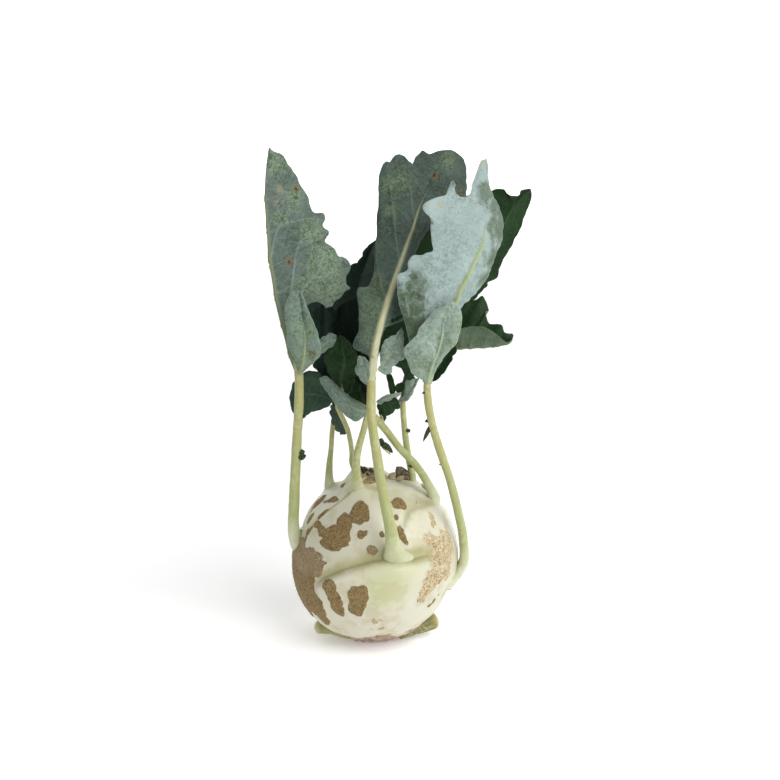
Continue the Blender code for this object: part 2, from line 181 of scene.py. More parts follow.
# %% [markdown]
# ## Making a piece
# Each piece is one mesh that rides on the plant's one body. Most pieces stand for one node of the solid
# model, and some small scraps and folds have none. A mesh can carry numbers on its points, here called
# marks, such as how close a point is to a vein. The materials read them by name.

# %% Make a piece
def ring_faces(rings, sides):
    """Four-cornered faces between rings that have sides points each."""
    here = np.arange(sides)
    after = (here + 1) % sides
    below = sides * np.arange(rings - 1)[:, None]
    above = below + sides
    quads = np.stack([below + here, below + after, above + after, above + here], axis=-1)
    return quads.reshape(-1, 4).tolist()


def make_piece(node, points, faces, finishes, marks, finish_of_face=None):
    name = "grown_" + node
    mesh = bpy.data.meshes.new(name)
    mesh.from_pydata((np.asarray(points) * MM).tolist(), [], faces)
    for finish in finishes:
        mesh.materials.append(finish)
    if finish_of_face is not None:
        mesh.polygons.foreach_set("material_index", finish_of_face)
    for mark, values in marks.items():
        layer = mesh.attributes.new(mark, "FLOAT", "POINT")
        layer.data.foreach_set("value", np.asarray(values, np.float32))
    mesh.shade_smooth()
    made = bpy.data.objects.new(name, mesh)
    scene.collection.objects.link(made)
    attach(made, "root")
    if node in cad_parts:
        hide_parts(node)
        low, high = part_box(node)
        points = np.asarray(points) * MM
        out = max(np.abs(points.min(0) - np.array(low)).max(), np.abs(points.max(0) - np.array(high)).max())
        print(f"{name}: {len(points)} points, its box is within {out / MM:.1f} mm of its solid")


# %% [markdown]
# ## Building shaders with few words
# A shader tree is nodes and the wires between them. Most of these helpers add one node and give back its
# output, so that a material reads from top to bottom. Colours are written as on a paint card, from 0 to
# 255.

# %% Shader helpers
def paint(red, green, blue):
    """A shader colour from the 0 to 255 values of a paint card."""
    line = [(c / 255 / 12.92 if c < 11 else ((c / 255 + 0.055) / 1.055) ** 2.4) for c in (red, green, blue)]
    return (*line, 1.0)


def add_node(tree, kind, inputs=(), **settings):
    """Adds a node. inputs gives each named socket a value, or the output that feeds it."""
    made = tree.nodes.new("ShaderNode" + kind)
    for name, value in settings.items():
        setattr(made, name, value)
    for name, value in dict(inputs).items():
        if isinstance(value, bpy.types.NodeSocket):
            tree.links.new(value, made.inputs[name])
        else:
            made.inputs[name].default_value = value
    return made


def sums(tree, operation, *values):
    return add_node(tree, "Math", dict(enumerate(values)), operation=operation).outputs[0]


def between(tree, value, low, high):
    """0 where value is below low, 1 above high, smooth between. low may be above high to turn it round."""
    inputs = {"Value": value, "From Min": low, "From Max": high}
    return add_node(tree, "MapRange", inputs, interpolation_type="SMOOTHSTEP").outputs[0]


def blend(tree, share, first, second):
    """The first colour where share is 0 and the second where it is 1."""
    return add_node(tree, "Mix", {0: share, 6: first, 7: second}, data_type="RGBA").outputs[2]


def mark(tree, name):
    return add_node(tree, "Attribute", attribute_name=name).outputs["Fac"]


def place_on(tree):
    return add_node(tree, "TexCoord").outputs["Object"]


def cloud(tree, size, detail=3.0, place=None):
    """A soft cloud of about 0 to 1 whose blobs are size millimetres across."""
    inputs = {"Vector": place or place_on(tree), "Scale": 1 / (size * MM), "Detail": detail, "Roughness": 0.6}
    return between(tree, add_node(tree, "TexNoise", inputs).outputs["Fac"], 0.25, 0.75)


def new_group(name, takes, gives):
    """A shader group with named sockets, what it takes (to wire from) and what it gives (to wire to)."""
    group = bpy.data.node_groups.new(name, "ShaderNodeTree")
    for socket, (kind, value) in takes.items():
        made = group.interface.new_socket(socket, in_out="INPUT", socket_type="NodeSocket" + kind)
        made.default_value = value
    for socket, kind in gives.items():
        group.interface.new_socket(socket, in_out="OUTPUT", socket_type="NodeSocket" + kind)
    return group, group.nodes.new("NodeGroupInput").outputs, group.nodes.new("NodeGroupOutput").inputs


def use(tree, group, **values):
    """Places a group in a tree and gives back its outputs."""
    made = tree.nodes.new("ShaderNodeGroup")
    made.node_tree = group
    for name, value in values.items():
        if isinstance(value, bpy.types.NodeSocket):
            tree.links.new(value, made.inputs[name])
        else:
            made.inputs[name].default_value = value
    return made.outputs


def new_finish(name):
    """A new finish with its tree and its shader."""
    finish = bpy.data.materials.new(name)
    finish.use_nodes = True
    return finish, finish.node_tree, finish.node_tree.nodes["Principled BSDF"]


def dress(tree, shader, colour, rough, height, depth, strength):
    """Joins a colour, a roughness and a bump of some depth in millimetres to a shader."""
    tree.links.new(colour, shader.inputs["Base Color"])
    tree.links.new(rough, shader.inputs["Roughness"])
    bump = add_node(tree, "Bump", {"Height": height, "Distance": depth * MM, "Strength": strength})
    tree.links.new(bump.outputs["Normal"], shader.inputs["Normal"])


print("paint card 128, 128, 128 is", round(paint(128, 128, 128)[0], 3), "in a shader")

# %% [markdown]
# ## Effects that several finishes share
# Three effects come back all over the plant. A fine net of veins or cracks is the border lines of random
# cells. Specks are small dots, one in some of the cells. Rubbed wax is a cloud broken up by a finer cloud,
# because the dusty bloom on a leaf is wiped off in patches and crumbs.

# %% Fine net
def fine_net():
    group, takes, gives = new_group(
        "fine_net", {"Cell": ("Float", 4.0), "Line": ("Float", 0.06), "Bend": ("Float", 1.0)},
        {"Lines": "Float"}
    )
    spot = place_on(group)
    scale = sums(group, "DIVIDE", 1 / MM, takes["Cell"])
    drift = add_node(group, "TexNoise", {"Vector": spot, "Scale": scale, "Detail": 2.0}).outputs["Color"]
    amount = sums(group, "MULTIPLY", takes["Bend"], sums(group, "DIVIDE", 0.5, scale))
    centred = add_node(group, "VectorMath", {0: drift, 1: (0.5, 0.5, 0.5)}, operation="SUBTRACT").outputs[0]
    moved = add_node(group, "VectorMath", {0: centred, "Scale": amount}, operation="SCALE").outputs[0]
    spot = add_node(group, "VectorMath", {0: spot, 1: moved}, operation="ADD").outputs[0]
    cells = add_node(group, "TexVoronoi", {"Vector": spot, "Scale": scale}, feature="DISTANCE_TO_EDGE")
    cells = cells.outputs["Distance"]
    group.links.new(between(group, cells, takes["Line"], 0.0), gives["Lines"])
    return group


FINE_NET = fine_net()
print("group with", len(FINE_NET.nodes), "nodes:", FINE_NET.name)

# %% Specks
def specks():
    group, takes, gives = new_group(
        "specks", {"Cell": ("Float", 1.5), "Size": ("Float", 0.3), "Share": ("Float", 0.3)}, {"Dots": "Float"}
    )
    scale = sums(group, "DIVIDE", 1 / MM, takes["Cell"])
    cells = add_node(group, "TexVoronoi", {"Vector": place_on(group), "Scale": scale})
    chosen = add_node(group, "SeparateColor", {"Color": cells.outputs["Color"]}).outputs[0]
    core = sums(group, "MULTIPLY", takes["Size"], 0.5)
    inside = between(group, cells.outputs["Distance"], takes["Size"], core)
    dots = sums(group, "MULTIPLY", inside, sums(group, "LESS_THAN", chosen, takes["Share"]))
    group.links.new(dots, gives["Dots"])
    return group


SPECKS = specks()
print("group with", len(SPECKS.nodes), "nodes:", SPECKS.name)

# %% Rubbed wax
def rubbed_wax():
    group, takes, gives = new_group(
        "rubbed_wax", {"Patch": ("Float", 14.0), "Crumb": ("Float", 1.6), "Amount": ("Float", 0.4)},
        {"Bare": "Float"}
    )
    spot = place_on(group)

    def layer(size):
        scale = sums(group, "DIVIDE", 1 / MM, size)
        return add_node(group, "TexNoise", {"Vector": spot, "Scale": scale, "Detail": 3.0}).outputs["Fac"]

    wide = between(group, layer(takes["Patch"]), 0.38, 0.66)
    fine = between(group, layer(takes["Crumb"]), 0.42, 0.60)
    bare = sums(group, "MULTIPLY", sums(group, "MULTIPLY", wide, fine), takes["Amount"])
    group.links.new(bare, gives["Bare"])
    return group


RUBBED_WAX = rubbed_wax()
print("group with", len(RUBBED_WAX.nodes), "nodes:", RUBBED_WAX.name)

# %% [markdown]
# ## The finish of a leaf
# The two faces of a leaf differ. The underside is covered with a blue-grey wax and its veins stand up, pale
# and smooth. The upper face is dark green, glossier, and its veins are sunk. Both finishes are one recipe
# with other colours, so one function mixes them. It reads the marks that the blade's mesh carries: rib,
# vein, edge, rust, pale, bare and green. The bare and green marks carry painted light and shade as well as
# rubbed wax: where they lie, the colour is painted lighter or darker for how brightly that part is lit.

# %% Leaf finish
def leaf_finish(name, wax, painted_light_and_shade, bare, vein, rib, gloss, bareness, vein_share=0.45, rib_share=1.0, shine=0.3,
                net_share=0.55):
    finish, tree, shader = new_finish(name)
    rubbed = use(tree, RUBBED_WAX, Patch=15.0, Crumb=1.5, Amount=bareness)["Bare"]
    worn = use(tree, RUBBED_WAX, Patch=5.0, Crumb=1.1, Amount=1.0)["Bare"]
    # Where the bare mark lies, the wax turns towards the finish's second colour, which is painted light and
    # shade: lighter on some finishes and darker on others, for how brightly that part of the leaf is lit.
    # Crumbs of rubbed wax show in the same area.
    soft_edge = sums(tree, "ADD", mark(tree, "bare"), sums(tree, "MULTIPLY", cloud(tree, 5.0), 0.5))
    painted_light_and_wear_area = between(tree, soft_edge, 0.35, 1.1)
    worn_here = sums(tree, "MULTIPLY", sums(tree, "MULTIPLY", worn, painted_light_and_wear_area), 0.75)
    rubbed = sums(tree, "MAXIMUM", rubbed, worn_here)

    def torn(name, size):
        """A mark with a ragged border whose notches are about size millimetres across."""
        return sums(tree, "MULTIPLY", mark(tree, name), sums(tree, "MULTIPLY", cloud(tree, size, 5.0), 1.8))

    # The green mark paints the bare colour: small green spots are wax rubbed off down to the green, and the
    # large ones on the right leaf are painted shade.
    green = sums(tree, "MULTIPLY", between(tree, torn("green", 3.2), 0.25, 0.8), 0.75)
    colour = blend(tree, sums(tree, "MULTIPLY", painted_light_and_wear_area, 0.8), wax, painted_light_and_shade)
    colour = blend(tree, sums(tree, "MAXIMUM", rubbed, green), colour, bare)
    darker = add_node(tree, "HueSaturation", {"Value": 0.84, "Color": colour}).outputs[0]
    colour = blend(tree, cloud(tree, 9.0), darker, colour)
    lines = use(tree, FINE_NET, Cell=2.6, Line=0.07, Bend=1.6)["Lines"]
    wrinkled = sums(tree, "MULTIPLY", lines, sums(tree, "MAXIMUM", cloud(tree, 12.0), painted_light_and_wear_area))
    colour = blend(tree, sums(tree, "MULTIPLY", wrinkled, net_share), colour, bare)
    crinkles = use(tree, FINE_NET, Cell=8.0, Line=0.035, Bend=2.6)["Lines"]
    crinkled = sums(tree, "MULTIPLY", crinkles, between(tree, cloud(tree, 14.0), 0.42, 0.62))
    colour = blend(tree, sums(tree, "MULTIPLY", crinkled, net_share * 0.8), colour, bare)
    wide_net = use(tree, FINE_NET, Cell=5.5, Line=0.05, Bend=1.4)["Lines"]
    colour = blend(tree, sums(tree, "MULTIPLY", wide_net, vein_share * 0.5), colour, vein)
    grain = use(tree, SPECKS, Cell=1.2, Size=0.36, Share=0.10)["Dots"]
    colour = blend(tree, sums(tree, "MULTIPLY", grain, 0.5), colour, bare)
    light_grain = use(tree, SPECKS, Cell=2.1, Size=0.20, Share=0.12)["Dots"]
    colour = blend(tree, sums(tree, "MULTIPLY", light_grain, 0.4), colour, vein)
    veins = between(tree, mark(tree, "vein"), 0.2, 0.9)
    colour = blend(tree, sums(tree, "MULTIPLY", veins, vein_share), colour, vein)
    rib_here = sums(tree, "MULTIPLY", between(tree, mark(tree, "rib"), 0.05, 0.75), rib_share)
    colour = blend(tree, rib_here, colour, rib)
    pale = sums(tree, "MULTIPLY", between(tree, torn("pale", 1.6), 0.25, 1.1), 0.45)
    colour = blend(tree, pale, colour, paint(164, 154, 120))
    rust = torn("rust", 1.5)
    rusty = sums(tree, "MULTIPLY", between(tree, rust, 0.12, 0.9), 0.75)
    colour = blend(tree, rusty, colour, paint(122, 100, 64))
    core = sums(tree, "ADD", mark(tree, "rust"), sums(tree, "MULTIPLY", rust, 0.25))
    colour = blend(tree, between(tree, core, 0.9, 1.2), colour, paint(64, 44, 26))
    rim = between(tree, mark(tree, "edge"), 0.5, 0.1)
    colour = blend(tree, sums(tree, "MULTIPLY", rim, 0.45), colour, vein)
    rough = sums(tree, "SUBTRACT", gloss, sums(tree, "MULTIPLY", rubbed, 0.2))
    height = sums(tree, "SUBTRACT", sums(tree, "MULTIPLY", cloud(tree, 0.9), 0.4), wrinkled)
    height = sums(tree, "SUBTRACT", height, crinkled)
    dress(tree, shader, colour, rough, height, 0.14, 0.9)
    shader.inputs["Specular IOR Level"].default_value = shine
    return finish


# The underside finishes are one blue-grey wax. Their colours differ mostly by painted light and shade, matched
# to how brightly each leaf or flap is lit: the right leaf's is painted palest and the inner leaves' darkest.
# The upper face finishes are painted darker in the same way where a leaf stands in shade.
UNDER_LEFT = leaf_finish(
    "underside_left_leaf", paint(98, 112, 105), paint(132, 150, 124), paint(56, 80, 52), paint(140, 155, 143),
    paint(120, 130, 100), 0.72, 0.55, net_share=0.75
)
UNDER_FRONT = leaf_finish(
    "underside_front_leaf", paint(77, 93, 84), paint(112, 130, 104), paint(42, 60, 38), paint(108, 124, 108),
    paint(188, 189, 152), 0.70, 0.6, net_share=0.7
)
UNDER_RIGHT = leaf_finish(
    "underside_right_leaf", paint(158, 176, 173), paint(90, 106, 84), paint(68, 88, 56), paint(184, 198, 190),
    paint(158, 172, 130), 0.74, 0.3, vein_share=0.26, net_share=0.15
)
UNDER_FLAP_LEFT = leaf_finish(
    "underside_left_flaps", paint(116, 134, 122), paint(122, 142, 116), paint(68, 90, 60),
    paint(150, 164, 146), paint(140, 154, 118), 0.72, 0.6
)
UNDER_FLAP = leaf_finish(
    "underside_right_flaps", paint(148, 166, 154), paint(140, 158, 136), paint(94, 116, 84),
    paint(184, 196, 180), paint(162, 176, 142), 0.72, 0.6
)
UNDER_SHADE = leaf_finish(
    "underside_inner_leaves", paint(76, 94, 84), paint(66, 86, 66), paint(40, 58, 38), paint(96, 112, 98),
    paint(98, 112, 82), 0.72, 0.7
)
UNDER_FOLDED = leaf_finish(
    "underside_folded_flap", paint(98, 117, 94), paint(106, 126, 96), paint(66, 88, 54), paint(130, 146, 118),
    paint(118, 134, 100), 0.72, 0.6
)
# Painted shade: the spreading flap shows its underside, and this finish paints it dark for the shade it lies
# in.
SPREAD_UNDERSIDE_IN_SHADE = leaf_finish(
    "upper_face_spread", paint(57, 82, 65), paint(61, 86, 61), paint(34, 54, 36), paint(84, 104, 88),
    paint(80, 100, 78), 0.6, 0.5, 0.35, 0.5, 0.14
)
UPPER = leaf_finish(
    "upper_face", paint(34, 60, 31), paint(44, 71, 35), paint(20, 40, 19), paint(74, 98, 64),
    paint(70, 94, 58), 0.5, 0.5, 0.35, 0.4, 0.14
)
UPPER_BLUE = leaf_finish(
    "upper_face_waxed", paint(47, 68, 57), paint(48, 71, 55), paint(26, 44, 33), paint(68, 90, 74),
    paint(66, 84, 64), 0.55, 0.5, 0.4, 0.4, 0.14
)
UPPER_DEEP = leaf_finish(
    "upper_face_in_shade", paint(25, 37, 29), paint(30, 44, 28), paint(13, 22, 13), paint(38, 50, 38),
    paint(42, 54, 38), 0.6, 0.5, 0.2, 0.4, 0.08
)
print("leaf finishes:", [m.name for m in bpy.data.materials if "side" in m.name or "upper" in m.name])

# %% [markdown]
# ## The finish of bulb and stalks
# The skin of the bulb is smooth, waxy and faintly see-through, so light sinks in a little. It is cream,
# greener where the stalks join it. Cork patches are rough tan scars, with a fine darker net and a ragged
# border. The stalks have the same skin, turning from cream at the foot to yellow-green above.

# %% Bulb finish
def soft_skin(shader, share):
    shader.inputs["Subsurface Weight"].default_value = share
    shader.inputs["Subsurface Radius"].default_value = (1.0, 0.9, 0.5)
    shader.inputs["Subsurface Scale"].default_value = 0.003
    shader.inputs["Specular IOR Level"].default_value = 0.4


def bulb_finish():
    finish, tree, shader = new_finish("bulb_skin")
    green = sums(tree, "ADD", mark(tree, "green"), sums(tree, "MULTIPLY", cloud(tree, 22.0), 0.25))
    skin = blend(tree, between(tree, green, 0.0, 1.2), paint(214, 210, 193), paint(196, 202, 152))
    skin = blend(tree, sums(tree, "MULTIPLY", cloud(tree, 5.0), 0.25), skin, paint(200, 198, 172))
    stain = between(tree, cloud(tree, 13.0, 4.0), 0.45, 0.8)
    skin = blend(tree, sums(tree, "MULTIPLY", stain, 0.4), skin, paint(184, 176, 136))
    # Painted shade: one mark paints the skin darker olive in the groove above each shelf edge, and another
    # paints a thin dark line in the crease at the edge.
    patchy = sums(tree, "MULTIPLY", mark(tree, "groove_shade"), cloud(tree, 8.0))
    groove_shade = sums(tree, "ADD", mark(tree, "groove_shade"), patchy)
    groove_shade = sums(tree, "MULTIPLY", between(tree, groove_shade, 0.0, 1.4), 0.85)
    skin = blend(tree, groove_shade, skin, paint(168, 164, 114))
    crease_shade = between(tree, mark(tree, "crease_shade"), 0.3, 1.0)
    skin = blend(tree, sums(tree, "MULTIPLY", crease_shade, 0.4), skin, paint(124, 126, 74))
    dots = use(tree, SPECKS, Cell=4.0, Size=0.09, Share=0.2)["Dots"]
    skin = blend(tree, sums(tree, "MULTIPLY", dots, 0.6), skin, paint(142, 120, 84))

    ragged = sums(tree, "SUBTRACT", cloud(tree, 2.6, 5.0), 0.5)
    cork = sums(tree, "ADD", mark(tree, "cork"), sums(tree, "MULTIPLY", ragged, 0.7))
    cork_here = between(tree, cork, -0.2, 0.3)
    net = use(tree, FINE_NET, Cell=1.5, Line=0.16, Bend=1.6)["Lines"]
    brown = blend(tree, cloud(tree, 1.4, 5.0), paint(108, 87, 52), paint(174, 150, 100))
    brown = blend(tree, sums(tree, "MULTIPLY", cloud(tree, 7.0), 0.4), brown, paint(148, 126, 84))
    brown = blend(tree, sums(tree, "MULTIPLY", net, 0.45), brown, paint(92, 72, 42))
    pale_cork = between(tree, mark(tree, "pale_cork"), -1.0, 1.0)
    brown = blend(tree, sums(tree, "MULTIPLY", pale_cork, 0.4), brown, paint(160, 138, 108))
    cracks = use(tree, FINE_NET, Cell=2.2, Line=0.10, Bend=2.2)["Lines"]
    brown = blend(tree, sums(tree, "MULTIPLY", sums(tree, "MULTIPLY", cracks, pale_cork), 0.6), brown,
                  paint(190, 172, 142))
    rim = sums(tree, "MULTIPLY", between(tree, cork, 0.0, 0.1), between(tree, cork, 0.9, 0.3))
    brown = blend(tree, sums(tree, "MULTIPLY", rim, 0.3), brown, paint(104, 84, 52))
    skin = blend(tree, cork_here, skin, brown)

    rough_patch = sums(tree, "ADD", mark(tree, "cracked"), sums(tree, "MULTIPLY", ragged, 2.4))
    crack_here = between(tree, rough_patch, 0.0, 0.25)
    pits = use(tree, SPECKS, Cell=1.3, Size=0.42, Share=0.55)["Dots"]
    tan = blend(tree, cloud(tree, 3.0, 4.0), paint(196, 176, 136), paint(222, 206, 172))
    tan = blend(tree, sums(tree, "MULTIPLY", cracks, 0.5), tan, paint(140, 116, 78))
    tan = blend(tree, sums(tree, "MULTIPLY", pits, 0.8), tan, paint(112, 88, 56))
    skin = blend(tree, crack_here, skin, tan)

    scab = sums(tree, "ADD", mark(tree, "scab"), sums(tree, "MULTIPLY", ragged, 0.6))
    scab_colour = blend(tree, cloud(tree, 1.6, 4.0), paint(86, 74, 40), paint(176, 146, 112))
    scab_colour = blend(tree, between(tree, scab, 0.75, 1.3), scab_colour, paint(92, 88, 50))
    skin = blend(tree, between(tree, scab, 0.2, 0.6), skin, scab_colour)
    root = sums(tree, "ADD", mark(tree, "root"), sums(tree, "MULTIPLY", ragged, 0.7))
    root_colour = blend(tree, cloud(tree, 2.0, 5.0), paint(98, 74, 56), paint(188, 160, 134))
    skin = blend(tree, between(tree, root, 0.25, 0.8), skin, root_colour)

    dry = sums(tree, "MAXIMUM", cork_here, crack_here)
    rough = sums(tree, "ADD", sums(tree, "MULTIPLY", dry, 0.42), 0.38)
    coarse = sums(tree, "ADD", sums(tree, "MULTIPLY", dry, 0.9), 0.05)
    fine = sums(tree, "MULTIPLY", cloud(tree, 0.8, 4.0), coarse)
    sunk = sums(tree, "MULTIPLY", sums(tree, "MULTIPLY", net, cork_here), 0.4)
    sunk = sums(tree, "ADD", sunk, sums(tree, "MULTIPLY", sums(tree, "MAXIMUM", cracks, pits), crack_here))
    height = sums(tree, "SUBTRACT", fine, sunk)
    dress(tree, shader, skin, rough, height, 0.3, 0.8)
    soft_skin(shader, 0.25)
    return finish


BULB_SKIN = bulb_finish()
print("bulb finish with", len(BULB_SKIN.node_tree.nodes), "nodes")

# %% Stalk finish
def stalk_finish(name, foot, middle_colour, top):
    finish, tree, shader = new_finish(name)
    along = sums(tree, "ADD", mark(tree, "along"), sums(tree, "MULTIPLY", cloud(tree, 16.0), 0.12))
    colour = blend(tree, between(tree, along, 0.10, 0.38), foot, middle_colour)
    colour = blend(tree, between(tree, along, 0.45, 1.05), colour, top)
    stretched = add_node(tree, "Mapping", {"Vector": place_on(tree), "Scale": (1.0, 1.0, 0.06)}).outputs[0]
    fibre = cloud(tree, 0.9, 2.0, stretched)
    darker = add_node(tree, "HueSaturation", {"Value": 0.86, "Saturation": 1.15, "Color": colour}).outputs[0]
    colour = blend(tree, sums(tree, "MULTIPLY", fibre, 0.6), colour, darker)
    bloom = use(tree, RUBBED_WAX, Patch=9.0, Crumb=2.0, Amount=0.5)["Bare"]
    colour = blend(tree, bloom, colour, paint(196, 202, 160))
    dots = use(tree, SPECKS, Cell=3.0, Size=0.10, Share=0.16)["Dots"]
    colour = blend(tree, sums(tree, "MULTIPLY", dots, 0.7), colour, paint(120, 112, 62))
    rough = sums(tree, "ADD", sums(tree, "MULTIPLY", bloom, 0.3), 0.36)
    height = sums(tree, "ADD", fibre, sums(tree, "MULTIPLY", cloud(tree, 0.7), 0.3))
    dress(tree, shader, colour, rough, height, 0.12, 0.7)
    soft_skin(shader, 0.2)
    return finish


STALK_SKIN = stalk_finish("stalk_skin", paint(212, 214, 184), paint(168, 173, 118), paint(172, 169, 114))
print("stalk finish with", len(STALK_SKIN.node_tree.nodes), "nodes")

# %% Withered finish
def withered_finish(name, dark, light):
    finish, tree, shader = new_finish(name)
    colour = blend(tree, cloud(tree, 2.0, 5.0), dark, light)
    creases = use(tree, FINE_NET, Cell=1.8, Line=0.14, Bend=2.0)["Lines"]
    colour = blend(tree, sums(tree, "MULTIPLY", creases, 0.6), colour, dark)
    rough = between(tree, creases, -2.5, 0.6)
    height = sums(tree, "SUBTRACT", cloud(tree, 0.8, 4.0), creases)
    dress(tree, shader, colour, rough, height, 0.4, 0.9)
    return finish


WITHERED = withered_finish("withered_brown", paint(86, 72, 56), paint(150, 132, 112))
TUFT = withered_finish("dead_growing_point", paint(38, 34, 18), paint(96, 90, 52))
BUD_GREEN = withered_finish("small_dark_buds", paint(28, 44, 22), paint(72, 92, 52))
CREAM_SCRAP = withered_finish("torn_cream_skin", paint(176, 160, 118), paint(222, 212, 176))
print("withered finishes:", [m.name for m in (WITHERED, TUFT, BUD_GREEN, CREAM_SCRAP)])

# %% [markdown]
# ## The bulb
# The bulb is a ball of two half ellipses, standing on the flat face where the root was cut off. Below each
# leaf base its skin steps out in a shelf, the scar of the sheath that wrapped round the stem, and right at
# the base it rises to meet the stalk. A turned profile can't do that, so the radius is worked out for every
# azimuth and height. Azimuth is measured from the front towards the right.

# %% Stalk routes and shelves
# Centre points from the bulb to the blade, with the radius at the foot, in the middle and at the end
STALKS = {
    "stalk_left": (
        ((-39, -1, 50), (-43, -3, 54), (-45, -8, 65), (-44, -13, 82), (-42, -17, 111), (-40, -19, 139),
         (-40, -19, 153)),
        (4.4, 2.9, 2.4),
    ),
    "stalk_front": (
        ((12, -33, 53), (11.5, -39, 57), (10, -46.5, 66), (8, -51.5, 80), (5, -52.5, 94), (1.6, -51, 115),
         (-0.6, -47.5, 129), (-1.6, -44, 140), (-1.5, -40.8, 151)),
        (4.4, 2.9, 2.2),
    ),
    "stalk_right": (
        ((40, 4, 31), (45, 2, 35), (49, -4, 44), (48, -12, 59), (46, -16, 71), (40, -24, 96),
         (33.2, -30, 117), (30, -34, 129), (27.8, -36.5, 140), (27, -38, 151)),
        (4.4, 2.5, 2.0),
    ),
    "stalk_back_left": (
        ((-24, 10, 77), (-26, 12, 84), (-26, 14, 94), (-25, 13, 103), (-24, 12, 115), (-22, 11, 127)),
        (2.8, 1.45, 1.3),
    ),
    "stalk_crown_left": (
        ((-8, 7, 86), (-10, 7, 91), (-13, 5, 98), (-13, 2, 105), (-15, -2, 118), (-20, -6, 131)),
        (2.4, 1.4, 1.3),
    ),
    "stalk_crown_front": (
        ((-10, -13, 84), (-10, -16, 89), (-10, -21, 104), (-9, -22, 112), (-6, -23, 123), (-4, -23, 131),
         (-3, -22, 137)),
        (3.6, 2.1, 1.5),
    ),
    "stalk_shoulder_right": (
        ((29, -4, 75), (32, -6, 80), (29, -9, 89), (22, -12, 101), (13, -13, 111), (5, -14, 122),
         (-4, -15, 132), (-12, -16, 137), (-16, -17, 139)),
        (4.0, 2.3, 1.8),
    ),
    "stalk_back_right": (
        ((19, 5, 80), (20, 4, 86), (20, 3, 93), (18, 1, 103), (16, -1, 118), (15, -2, 133)),
        (2.8, 1.8, 1.6),
    ),
}
# Shelves: how far each stands out, how soft its edge is, and points along the edge (azimuth, height)
SHELVES = (
    (2.7, 1.0, ((-46, 38), (-36, 44.3), (-27, 48.8), (-19, 52), (-11, 54.2), (-2, 56.6), (7, 57.2),
                (17, 56.6), (25, 56), (35, 56.4), (44, 55.3), (53, 52), (62, 46.5))),
    (1.8, 0.8, ((-66, 64), (-58, 71), (-51, 77), (-46, 81), (-41, 84), (-36, 86), (-26, 87.7), (-10, 87.6),
                (2, 87.4), (12, 87))),
    (1.3, 0.9, ((22, 71), (27, 76), (33, 78.4), (42, 79.4), (55, 79.2), (66, 78), (82, 76), (100, 72),
                (116, 68))),
    (0.7, 1.4, ((-122, 40), (-104, 46), (-88, 49), (-70, 54), (-58, 50))),
    (1.5, 1.4, ((62, 22), (78, 29), (96, 31), (114, 29), (130, 22))),
    (1.3, 1.2, ((-150, 64), (-130, 73), (-113, 76), (-94, 73), (-76, 66))),
    (0.4, 1.2, ((70, 70), (88, 77), (105, 79), (122, 77), (140, 70))),
)
print("stalks:", {name: round(length_of(route)) for name, (route, radii) in STALKS.items()})

# %% Bulb skin
BULB_RADIUS = 45.4
BULB_HEIGHT = 92.0
BULB_WAIST = 46.0
BASE_RADIUS = 14.0
LEAN = ((0, 0.0), (12, -2.0), (45, 0.0), (75, 0.6), (92, 3.0))  # sideways drift of the axis by height


BASE_ANGLE = math.acos(BASE_RADIUS / BULB_RADIUS)


def bulb_angle(height):
    """How far up the half ellipse a height is: 0 at the waist, a right angle at the top."""
    half = np.where(height < BULB_WAIST, BULB_WAIST, BULB_HEIGHT - BULB_WAIST)
    share = (np.asarray(height, float) - BULB_WAIST) / half
    return np.arcsin(np.clip(share * np.where(share < 0, math.sin(BASE_ANGLE), 1.0), -1.0, 1.0))


def shelves(azimuth, height):
    """How far the skin stands out at shelves, and the painted shade above each edge and in its crease."""
    stands = np.zeros(azimuth.shape)
    groove_shade = np.zeros(azimuth.shape)
    crease_shade = np.zeros(azimuth.shape)
    angle = bulb_angle(height)
    for rise, soft, edge in SHELVES:
        turns, levels = np.array(edge, float).T
        centre = (turns[0] + turns[-1]) / 2
        turn = (np.degrees(azimuth) - centre + 180) % 360 - 180 + centre
        below = BULB_RADIUS * (bulb_angle(np.interp(turn, turns, levels)) - angle)
        inside = ease(turn, turns[0] - 4, turns[0] + 10) * ease(-turn, -turns[-1] - 4, -turns[-1] + 10)
        step = 1 / (1 + np.exp(-np.clip(below / soft, -30, 30)))
        stands += rise * inside * step * np.exp(-np.maximum(below, 0) / 18.0)
        stands -= 0.3 * rise * inside * np.exp(-(((below + 2.6) / 2.4) ** 2))
        # The groove just above each edge and the crease at it get painted shade, stronger for a higher shelf.
        groove_shade = np.maximum(groove_shade, rise / 2.7 * inside * np.exp(-(((below + 3.0) / 4.2) ** 2)))
        crease_shade = np.maximum(crease_shade, rise / 2.7 * inside * np.exp(-(((below + 1.3) / 0.8) ** 2)))
    return stands * ease(height, 0.0, 18.0), groove_shade, crease_shade


def bulb_point(azimuth, height):
    lean = np.interp(height, [level for level, drift in LEAN], [drift for level, drift in LEAN])
    radius = BULB_RADIUS * np.cos(bulb_angle(height))
    x = lean + radius * np.sin(azimuth)
    return np.stack([x, -radius * np.cos(azimuth), height + 0 * radius], axis=-1)


print("bulb radius 20 mm above its base:", round(float(BULB_RADIUS * np.cos(bulb_angle(20.0))), 1), "mm")

# %% [markdown]
# ### Cork patches
# Each patch is an oval on the skin with a place, a size and a tilt. What is kept is not a painted picture
# but a field: the depth inside an oval in millimetres, 0 at its rim and below 0 outside. Waves bend the
# ovals, overlapping ovals join, and the finish adds the last fine raggedness where it cuts the field at 0.

